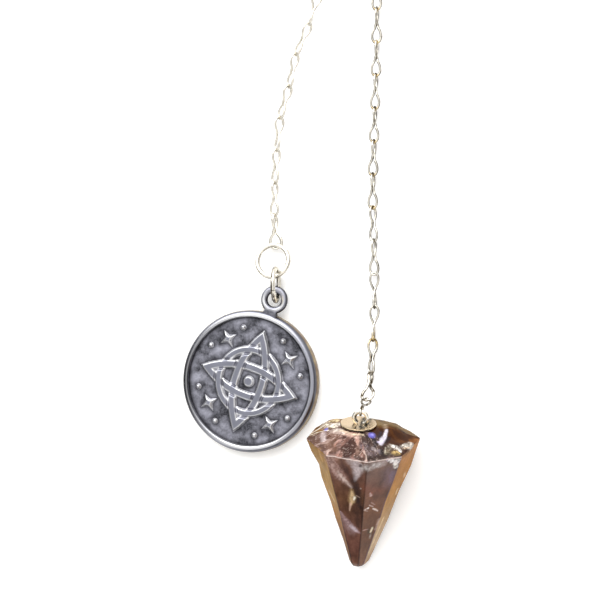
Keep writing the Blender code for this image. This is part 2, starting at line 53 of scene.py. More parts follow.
def addNode(tree, kind, sockets=None, **settings):
    node = tree.nodes.new(kind)
    for name, value in settings.items():
        setattr(node, name, value)
    for name, value in (sockets or {}).items():
        socket = node.inputs[name]
        if isinstance(value, bpy.types.NodeSocket):
            tree.links.new(value, socket)
        else:
            socket.default_value = value
    return node


def newMaterial(name, sockets):
    material = bpy.data.materials.new(name)
    material.use_nodes = True
    shader = material.node_tree.nodes["Principled BSDF"]
    for socketName, value in sockets.items():
        shader.inputs[socketName].default_value = value
    return material, material.node_tree, shader


def placed(name, data):
    made = bpy.data.objects.new(name, data)
    bpy.context.scene.collection.objects.link(made)
    return made


def meshPiece(name, points, faces, material):
    mesh = bpy.data.meshes.new(name)
    mesh.from_pydata((np.asarray(points) * mm).tolist(), [], faces)
    mesh.materials.append(material)
    mesh.shade_smooth()
    return placed(name, mesh)


def evaluated(piece):
    graph = bpy.context.evaluated_depsgraph_get()
    return bpy.data.meshes.new_from_object(piece.evaluated_get(graph))


def pointsOf(mesh):
    return np.array([vertex.co for vertex in mesh.vertices]) / mm


def normalsOf(mesh):
    return np.array([normal.vector for normal in mesh.vertex_normals])


def paint(piece, name, values):
    layer = piece.data.attributes.new(name, "FLOAT", "POINT")
    layer.data.foreach_set("value", np.asarray(values, dtype=np.float32).ravel())


def smoothStep(t):
    t = np.clip(t, 0.0, 1.0)
    return t * t * (3 - 2 * t)


def gridFaces(rows, columns):
    # quads between closed rings that follow each other
    faces = []
    for i in range(rows - 1):
        for j in range(columns):
            k = (j + 1) % columns
            a, b = i * columns, (i + 1) * columns
            faces.append((a + j, a + k, b + k, b + j))
    return faces


def inMetres(matrix):
    scaled = matrix.copy()
    scaled.translation = matrix.translation * mm
    return scaled


def finishPiece(piece, node):
    piece.data.transform(Matrix.Translation(layoutShift))
    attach(piece, "root")
    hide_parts(node)


def newTree(name, inputs):
    # a modifier's tree, given back with the outputs of its input node
    tree = bpy.data.node_groups.new(name, "GeometryNodeTree")
    tree.is_modifier = True
    for socketName, socketType in (("Geometry", "NodeSocketGeometry"), *inputs):
        tree.interface.new_socket(name=socketName, in_out="INPUT", socket_type=socketType)
    tree.interface.new_socket(name="Geometry", in_out="OUTPUT", socket_type="NodeSocketGeometry")
    return tree, tree.nodes.new("NodeGroupInput").outputs


def closeTree(tree, geometry, finish):
    realised = addNode(tree, "GeometryNodeRealizeInstances", {"Geometry": geometry})
    smooth = addNode(tree, "GeometryNodeSetShadeSmooth", {"Geometry": realised.outputs[0]})
    coated = addNode(tree, "GeometryNodeSetMaterial", {"Geometry": smooth.outputs[0], "Material": finish})
    addNode(tree, "NodeGroupOutput", {0: coated.outputs[0]})


def bakeTree(name, tree, values, place=Matrix.Identity(4), baseMesh=None):
    # the tree's result as a plain mesh, moved to its place
    source = placed(name + "Source", baseMesh or bpy.data.meshes.new(name + "Base"))
    modifier = source.modifiers.new("Nodes", "NODES")
    modifier.node_group = tree
    for item in tree.interface.items_tree:
        if item.in_out == "INPUT" and item.name in values:
            modifier[item.identifier] = values[item.name]
    mesh = evaluated(source)
    source.modifiers.remove(modifier)
    bpy.data.objects.remove(source, do_unlink=True)
    mesh.name = name
    mesh.transform(place)
    return placed(name, mesh)


def wireRingTree():
    tree, given = newTree("wireRing", (
        ("Radius", "NodeSocketFloat"), ("Wire Radius", "NodeSocketFloat"), ("Start", "NodeSocketFloat"),
        ("Sweep", "NodeSocketFloat"), ("Segments", "NodeSocketInt"), ("Sides", "NodeSocketInt"),
        ("Finish", "NodeSocketMaterial"),
    ))
    arc = addNode(tree, "GeometryNodeCurveArc", {
        "Resolution": given["Segments"], "Radius": given["Radius"],
        "Start Angle": given["Start"], "Sweep Angle": given["Sweep"],
    })
    section = addNode(tree, "GeometryNodeCurvePrimitiveCircle", {
        "Resolution": given["Sides"], "Radius": given["Wire Radius"],
    })
    wire = addNode(tree, "GeometryNodeCurveToMesh", {
        "Curve": arc.outputs["Curve"], "Profile Curve": section.outputs["Curve"], "Fill Caps": True,
    })
    closeTree(tree, wire.outputs["Mesh"], given["Finish"])
    return tree


def chainTree():
    tree, given = newTree("chainLinks", (
        ("Link Path", "NodeSocketObject"), ("Wire Radius", "NodeSocketFloat"), ("Sides", "NodeSocketInt"),
        ("Finish", "NodeSocketMaterial"),
    ))
    path = addNode(tree, "GeometryNodeObjectInfo", {"Object": given["Link Path"]})
    curve = addNode(tree, "GeometryNodeMeshToCurve", {"Mesh": path.outputs["Geometry"]})
    section = addNode(tree, "GeometryNodeCurvePrimitiveCircle", {
        "Resolution": given["Sides"], "Radius": given["Wire Radius"],
    })
    link = addNode(tree, "GeometryNodeCurveToMesh", {
        "Curve": curve.outputs["Curve"], "Profile Curve": section.outputs["Curve"],
    })
    turn = addNode(tree, "GeometryNodeInputNamedAttribute", {"Name": "linkTurn"}, data_type="QUATERNION")
    width = addNode(tree, "GeometryNodeInputNamedAttribute", {"Name": "linkWidth"}, data_type="FLOAT_VECTOR")
    links = addNode(tree, "GeometryNodeInstanceOnPoints", {
        "Points": given["Geometry"], "Instance": link.outputs["Mesh"],
        "Rotation": turn.outputs["Attribute"], "Scale": width.outputs["Attribute"],
    })
    closeTree(tree, links.outputs["Instances"], given["Finish"])
    return tree


ringTree = wireRingTree()


def bentWire(name, material, place, radius, wire, start, sweep, segments, sides):
    # round wire bent round a circle, from one angle on
    return bakeTree(name, ringTree, {
        "Radius": radius * mm, "Wire Radius": wire / 2 * mm, "Start": math.radians(start),
        "Sweep": math.radians(sweep), "Segments": segments, "Sides": sides, "Finish": material,
    }, inMetres(place))


# camera: looks down on the layout from 18 degrees off the vertical, from the side of the stone
camera = {"target": (-0.75, -19.38, 0.0), "tilt": 18.0, "distance": 275.0, "lens": 99.0}


def makeCamera(values):
    tilt = math.radians(values["tilt"])
    data = bpy.data.cameras.new("camera")
    data.lens = values["lens"]
    data.clip_start = 0.01
    data.clip_end = 20.0
    made = placed("camera", data)
    away = Vector((math.sin(tilt), 0.0, math.cos(tilt)))
    made.location = (Vector(values["target"]) + away * values["distance"]) * mm
    made.rotation_euler = (0.0, tilt, 0.0)
    bpy.context.scene.camera = made


# studio: pale walls, one large softbox at the head of the table, a dim opening overhead where the camera
# looks in, and dim sides and front
tent = {
    "wall": "#fbfaf8", "wallStrength": 1.2,
    "softbox": "#ffffff", "softboxStrength": 3.6, "softboxTilt": 38.0, "softboxTurn": -12.0,
    "softboxInner": 26.0, "softboxOuter": 48.0,
    "opening": "#d6d7db", "openingStrength": 1.0, "openingTilt": -18.0, "openingInner": 10.0,
    "openingOuter": 30.0,
    "left": "#3b3d46", "leftStrength": 0.6, "right": "#77747a", "rightStrength": 0.8,
    "front": "#5b5c63", "frontStrength": 0.7,
    "sideInner": 26.0, "sideOuter": 44.0,
    "floorSize": 4000.0, "floorColour": "#f8f8f7", "floorGlow": 0.2, "floorDrop": 0.02,
}


def makeTent(values):
    world = bpy.data.worlds.new("lightTent")
    world.use_nodes = True
    bpy.context.scene.world = world
    tree = world.node_tree
    direction = addNode(tree, "ShaderNodeTexCoord").outputs["Generated"]

    def patch(below, name, towards, inner, outer):
        # mixes a round patch of another colour over the walls
        facing = addNode(tree, "ShaderNodeVectorMath", {0: direction, 1: towards}, operation="DOT_PRODUCT")
        inside = addNode(tree, "ShaderNodeMapRange", {
            "Value": facing.outputs["Value"], "From Min": math.cos(math.radians(outer)),
            "From Max": math.cos(math.radians(inner)),
        }, interpolation_type="SMOOTHSTEP")
        mixed = addNode(tree, "ShaderNodeMix", {
            "Factor": inside.outputs["Result"], 6: below, 7: glow(name),
        }, data_type="RGBA")
        return mixed.outputs[2]

    def glow(name):
        return [c * values[name + "Strength"] for c in linearColour(values[name])[:3]] + [1.0]

    tilt = math.radians(values["openingTilt"])
    rise, turn = math.radians(values["softboxTilt"]), math.radians(values["softboxTurn"])
    colour = patch(glow("wall"), "softbox", (
        math.cos(rise) * math.sin(turn), math.cos(rise) * math.cos(turn), math.sin(rise),
    ), values["softboxInner"], values["softboxOuter"])
    sides = (("left", (-1.0, 0.0, 0.0)), ("right", (1.0, 0.0, 0.0)), ("front", (0.0, -1.0, 0.0)))
    for name, towards in sides:
        colour = patch(colour, name, towards, values["sideInner"], values["sideOuter"])
    colour = patch(colour, "opening", (math.sin(tilt), 0.0, math.cos(tilt)),
                   values["openingInner"], values["openingOuter"])
    tree.links.new(colour, tree.nodes["Background"].inputs["Color"])

    half = values["floorSize"] / 2
    corners = [
        (x * half, y * half, -values["floorDrop"]) for x, y in ((-1, -1), (1, -1), (1, 1), (-1, 1))
    ]
    # matt white acrylic sheet, lit a little from below so that the shadows on it stay pale
    sheetFinish, _, _ = newMaterial("backlitWhiteAcrylic", {
        "Base Color": linearColour(values["floorColour"]), "Roughness": 0.9, "Specular IOR Level": 0.2,
        "Emission Color": linearColour("#ffffff"), "Emission Strength": values["floorGlow"],
    })
    meshPiece("floor", corners, [(0, 1, 2, 3)], sheetFinish)


makeCamera(camera)
makeTent(tent)
bpy.context.scene.view_settings.view_transform = "Standard"
print("camera, tent and floor done")


wireLook = {
    "silver": "#f1ece0", "silverTarnishAndShade": "#443927", "paleGold": "#c5af90", "paleGoldShade": "#23251b",
    "brassAndWarmShade": "#f2d084", "roughness": 0.2, "markSize": 0.9, "markDepth": 0.01,
}


def platedWire(name, colour, tarnishAndShade, values):
    # silver plated brass wire, drawn and bent: bright where it is handled, olive brown tarnish left along
    # the flanks and in the joints, which outlines the thin wire against the pale floor; this dark colour is
    # also painted shade on the flanks and undersides
    material, tree, shader = newMaterial(name, {"Metallic": 1.0})
    place = addNode(tree, "ShaderNodeTexCoord").outputs["Object"]
    marks = addNode(tree, "ShaderNodeTexNoise", {
        "Vector": place, "Scale": 1 / (values["markSize"] * mm), "Detail": 3.0, "Roughness": 0.6,
    }).outputs["Fac"]
    gloss = addNode(tree, "ShaderNodeMapRange", {
        "Value": marks, "From Min": 0.3, "From Max": 0.7,
        "To Min": values["roughness"] * 0.7, "To Max": values["roughness"] * 1.5,
    })
    tree.links.new(gloss.outputs["Result"], shader.inputs["Roughness"])
    patchy = addNode(tree, "ShaderNodeMapRange", {
        "Value": marks, "From Min": 0.38, "From Max": 0.6, "To Min": 0.4, "To Max": 1.25,
    })
    flank, worn = (
        addNode(tree, "ShaderNodeAttribute", attribute_name=mark).outputs["Fac"]
        for mark in ("tarnishAndShade", "brassAndWarmShade")
    )
    amount = addNode(tree, "ShaderNodeMath", {0: flank, 1: patchy.outputs["Result"]}, operation="MULTIPLY")
    # the plating is worn through to the brass in a few places, and the same colour is a painted warm shade on
    # the standing ring; the tarnish and painted shade lie over both
    shown = linearColour(colour)
    for share, over in ((worn, values["brassAndWarmShade"]), (amount.outputs[0], tarnishAndShade)):
        shown = addNode(tree, "ShaderNodeMix", {
            "Factor": share, 6: shown, 7: linearColour(over),
        }, data_type="RGBA").outputs[2]
    tree.links.new(shown, shader.inputs["Base Color"])
    bump = addNode(tree, "ShaderNodeBump", {
        "Height": marks, "Strength": 0.1, "Distance": values["markDepth"] * mm,
    })
    tree.links.new(bump.outputs["Normal"], shader.inputs["Normal"])
    return material


def tarnishAndShadeFlanks(piece, strength, topside=0.88, underside=0.5, left=0.0):
    # darker where the wire turns away from above: tarnish and painted shade on the flanks and undersides;
    # strength is one number, or one for each point, and left is how dark the painted shade on the left flank
    # is on its own
    normals = normalsOf(piece.data)
    amount = smoothStep((topside - normals[:, 2]) / (topside - underside)) * strength
    paint(piece, "tarnishAndShade", np.maximum(amount, left * smoothStep((0.05 - normals[:, 0]) / 0.25)))


def wearAndWarmShadePlaces(piece, places):
    # the brass colour at each place: worn plating on the chain, painted warm shade on the standing ring;
    # places are (middle, reach)
    points = pointsOf(piece.data)
    amount = [
        np.clip(1.3 - np.linalg.norm(points - middle, axis=1) / reach, 0, 1) for middle, reach in places
    ]
    paint(piece, "brassAndWarmShade", np.max(amount, axis=0))


silverWire = platedWire("silverPlatedWire", wireLook["silver"], wireLook["silverTarnishAndShade"], wireLook)
paleGoldPlate = platedWire("paleGoldPlate", wireLook["paleGold"], wireLook["paleGoldShade"], wireLook)


# stone: a plain eight-sided cut, then rounded, worn and dented
stone = {
    "girdleRadius": 8.93, "girdleBand": 0.24, "crownHeight": 2.05, "tableRadius": 3.45,
    "sharpDepth": 25.9, "tipCut": 4.33, "tipChamfer": 0.7, "tipEndShare": 0.7, "tableOffset": 0.7,
    "corners": ((22.5, 1.0), (61, 1.0), (112.5, 1.05), (157.5, 1.0),
                (202.5, 1.0), (247.5, 1.0), (292.5, 1.0), (337.5, 1.0)),
    "sideLength": 6.83,  # from corner to corner on the girdle
    "place": (12.22, -41.65), "heading": 7.3,
    "edgeRounding": 0.12, "rowSpacing": 0.13, "columnSpacing": 0.17, "sharpFrom": 20.0,
    "wave": 0.03, "waveSize": 4.2, "ripple": 0.01, "rippleSize": 1.1,
    # chipped and ground away (-) or fuller (+) than the plain cut, as (height, outwards) down a corner
    "cornerWear": {
        2: ((-24, 0.3), (-20, 0.38), (-14, 0.5), (-9, 0.28), (-4.5, 0.42), (-1.5, 0.1), (0, 0)),
        6: ((-22, -0.1), (-18, -0.28), (-14, -0.25), (-11, -0.42), (-8.6, -0.34), (-6.6, -0.3),
            (-5.4, -0.45), (-4.3, -0.6), (-3.2, -0.35), (-2, -0.08), (0, 0)),
        1: ((-12, 0), (-9, -0.12), (-5, 0), (0, 0)), 7: ((-14, 0), (-11, -0.1), (-7, 0), (0, 0)),
    },
    # small hollows and swellings: middle, reach, push
    "dents": (
        ((-8.2, 3.4, 0.2), 2.2, (0.3, 0.0, -0.15)), ((3.9, 7.6, 0.3), 3.2, (-0.05, -0.15, -0.15)),
        ((4.5, 1.5, 1.3), 2.5, (0.1, 0.1, 0.85)), ((6.2, -5.2, 0.2), 0.9, (-0.2, 0.2, -0.1)),
        ((-2.0, -8.2, 0.1), 0.7, (0.05, 0.2, 0.0)), ((1.9, -7.9, 0.2), 0.6, (0.0, 0.18, -0.05)),
        ((-5.6, 1.6, 1.1), 2.4, (-0.05, 0.05, 0.35)),
    ),
    # patterns seen in it, one size or one each along x, y and z
    "streaks": (1.1, 1.1, 4.5), "clouds": 2.3, "sparks": 0.2,
    "cracks": (0.75, 2.4, 2.6), "rays": (0.5, 2.2, 2.6), "flakes": (0.45, 0.8, 1.2),
    "splinters": 0.5, "grain": 0.45, "fibres": (0.4, 0.4, 1.5), "inclusionGrain": 0.85,
    # painted highlights: the glint and spark colours for splinter edges and tiny flaws, and a pale line along
    # the girdle
    "glint": "#e9d3c6", "spark": "#dcbcb0", "inclusionGap": "#4a2c1c",
    "girdleHighlight": "#ffe9e0", "aboveGirdle": "#2a1712",
    # where the crown's colours and its gloss begin, above the girdle's lower edge
    "crownStart": 0.12, "crownGlossStart": 0.2,
    # the long side facets are worn duller than the front and the crown
    "gloss": {"rightBackCrown": 0.06, "crown": 0.25, "front": 0.4, "rest": 0.08},
    "speckSize": 0.3, "speckShades": (0.79, 1.07), "scratchSize": 0.7, "scratchDepth": 0.012,
}


def stoneFrame(values):
    halfStep = math.radians(22.5)
    across = values["girdleRadius"] * math.cos(halfStep)
    lean = math.atan2(across, values["sharpDepth"])
    heading = math.radians(values["heading"])
    ahead = Vector((math.sin(heading), math.cos(heading), 0.0))
    axis = ahead * math.cos(lean) + Vector((0, 0, 1)) * math.sin(lean)
    right = Vector((math.cos(heading), -math.sin(heading), 0.0))
    turn = Matrix((right, axis.cross(right), axis)).transposed().to_4x4()
    middle = Vector((*values["place"], across * math.cos(lean)))
    return Matrix.Translation(middle) @ turn


stonePlace = stoneFrame(stone)
tableHeight = stone["girdleBand"] + stone["crownHeight"]


def roundedShares(points, radius, spacing, closed):
    # a line of straight runs with each corner taken round a small curve, every sample given as shares of
    # the corners so that these can move afterwards
    points = [np.array(p, dtype=float) for p in points]
    count, unit = len(points), np.eye(len(points))
    shares, runs = [], []
    for i in range(count if closed else count - 1):
        j, k = (i + 1) % count, (i + 2) % count
        length = np.linalg.norm(points[j] - points[i])
        trim = min(radius / length, 0.3)
        first = trim if closed or i > 0 else 0.0
        last = 1 - trim if closed or i < count - 2 else 1.0
        for t in np.linspace(first, last, max(2, round((last - first) * length / spacing)) + 1):
            shares.append(unit[i] * (1 - t) + unit[j] * t)
            runs.append(i)
        if closed or i < count - 2:
            nextTrim = min(radius / np.linalg.norm(points[k] - points[j]), 0.3)
            a = unit[i] * trim + unit[j] * (1 - trim)
            b = unit[j] * (1 - nextTrim) + unit[k] * nextTrim
            for t in (0.25, 0.5, 0.75):
                shares.append((1 - t) ** 2 * a + 2 * t * (1 - t) * unit[j] + t * t * b)
                runs.append(i if t < 0.6 else j)
    return np.array(shares), np.array(runs)


def stoneShape(values):
    # rows of points from tip to table, in the stone's own frame, with the facet that each column is on
    angles = np.radians([angle for angle, _ in values["corners"]])
    outward = np.column_stack([np.sin(angles), -np.cos(angles)])
    size = values["girdleRadius"]
    corners = outward * size * np.array([[share] for _, share in values["corners"]])
    across, facets = roundedShares(corners, values["edgeRounding"] * 2.2, values["columnSpacing"], True)
    tipShare = values["tipCut"] / values["sharpDepth"]
    tipHeight = values["tipCut"] - values["sharpDepth"]
    outline = np.array([
        (0.0, tipHeight - values["tipChamfer"]),
        (size * tipShare * values["tipEndShare"], tipHeight - values["tipChamfer"]),
        (size * tipShare, tipHeight), (size, 0.0), (size, values["girdleBand"]),
        (values["tableRadius"], tableHeight), (0.0, tableHeight),
    ])
    down, _ = roundedShares(outline, values["edgeRounding"], values["rowSpacing"], False)
    rows = []
    for radius, height in down @ outline:
        if radius < 0.05:
            continue
        wear = np.zeros(len(corners))
        for corner, line in values["cornerWear"].items():
            wear[corner] = np.interp(height, *zip(*line)) * min(1.0, radius / 1.5)
        ring = across @ (corners * (radius / size) + outward * wear[:, None])
        rise = max(0.0, (height - values["girdleBand"]) / values["crownHeight"])
        rows.append(np.column_stack([
            ring[:, 0] - values["tableOffset"] * rise, ring[:, 1], np.full(len(ring), height)
        ]))
    return np.array(rows), facets, across


def fieldOf(function, points, size, shift=0.0):
    # a noise looked up at each point, and each pattern shifts it to a part of its own
    return np.array([function(Vector(p)) for p in points / np.asarray(size, dtype=float) + shift])


def cloudy(points, size, shift=0.0):
    # soft noise from 0 to 1
    return np.clip(fieldOf(lambda p: noise.fractal(p, 0.8, 2.1, 4), points, size, shift) * 0.6 + 0.5, 0, 1)


def shards(points, size, shift=0.0):
    # crackle: a random tone for each splinter, and how near its border is
    def splinter(p):
        distances, middles = noise.voronoi(p)
        return noise.cell(middles[0] * 37.7), distances[1] - distances[0]
    values = fieldOf(splinter, points, size, shift)
    return values[:, 0], values[:, 1]


def wispy(points, amount, size):
    # the points pushed about softly, so that a pattern looked up there loses its even shapes
    pushes = [fieldOf(noise.noise, points, size, shift) for shift in (3.1, 17.7, 31.3)]
    return points + amount * np.column_stack(pushes)


def ramp(values, stops):
    places, tones = zip(*sorted(stops))
    tones = np.array([linearColour(tone)[:3] for tone in tones])
    return np.column_stack([np.interp(values, places, channel) for channel in tones.T])


def nearPath(points, path, radii):
    # 1 on the path, 0 at its reach and beyond, the reach changing along it
    path = np.array(path, dtype=float)
    radii = np.resize(radii, len(path))
    best = np.zeros(len(points))
    if len(path) == 1:
        return np.clip(1 - np.linalg.norm(points - path[0], axis=1) / radii[0], 0, 1)
    for a, b, ra, rb in zip(path, path[1:], radii, radii[1:]):
        t = np.clip((points - a) @ (b - a) / ((b - a) @ (b - a)), 0, 1)
        away = np.linalg.norm(points - a - t[:, None] * (b - a), axis=1)
        best = np.maximum(best, 1 - away / (ra + (rb - ra) * t))
    return np.clip(best, 0, 1)


# what is seen in the stone, in its own frame: x to the right, y to the underside, z to the table
# facets are counted from the front right one (0) by the right side and the underside to the front left one
# (7), and each has its facet of the crown above it
facetNames = {6: "leftSide", 7: "frontLeft", 0: "frontRight", 1: "rightSide"}
crownNames = {5: "backLeft", 6: "left", 7: "front", 0: "frontRight", 1: "right"}
frontFacets, sideFacets, rightBackFacets = (7, 0), (6, 1), (1, 2, 3, 4)
# the facets' tones, down from the girdle: height, colour
# the side facets are painted lighter amber, as painted light that comes through them
facetTones = {
    "leftSide": ((0, "#8f6624"), (-3, "#9f7836"), (-8, "#a88146"), (-12, "#9b6c30"), (-15, "#84551f"),
                 (-20, "#71451a")),
    "frontLeft": ((0, "#826052"), (-3, "#704f43"), (-8, "#654532"), (-13, "#6c4a3e"), (-18, "#6e493e"),
                  (-22, "#755142")),
    "frontRight": ((0, "#72574d"), (-3, "#6f5146"), (-6, "#69412f"), (-10, "#6d452d"), (-15, "#69422b"),
                   (-20, "#704b36"), (-22, "#6b4833")),
    "rightSide": ((0, "#b27a45"), (-4, "#ac773e"), (-8, "#b58246"), (-13, "#b8956d"), (-18, "#d0b394"),
                  (-22, "#a9886a")),
    "underside": ((0, "#8a6440"), (-10, "#7b5538"), (-22, "#61412e")),
}
# the crown's facets, from their dark splinters (0) to the bright ones (1)
crownTones = {
    "left": ((0, "#5a3d31"), (0.45, "#8c7065"), (1, "#c4aea3")),
    "front": ((0, "#452a21"), (0.45, "#9b7164"), (1, "#dab9ab")),
    "frontRight": ((0, "#2e1f19"), (0.45, "#533e36"), (1, "#7f6c67")),
    "right": ((0, "#3d200e"), (0.5, "#4b2a12"), (1, "#5c3719")),
    "back": ((0, "#5b4529"), (0.5, "#785d38"), (1, "#92764c")),
    "backLeft": ((0, "#634629"), (0.45, "#886844"), (1, "#bfa684")),
}
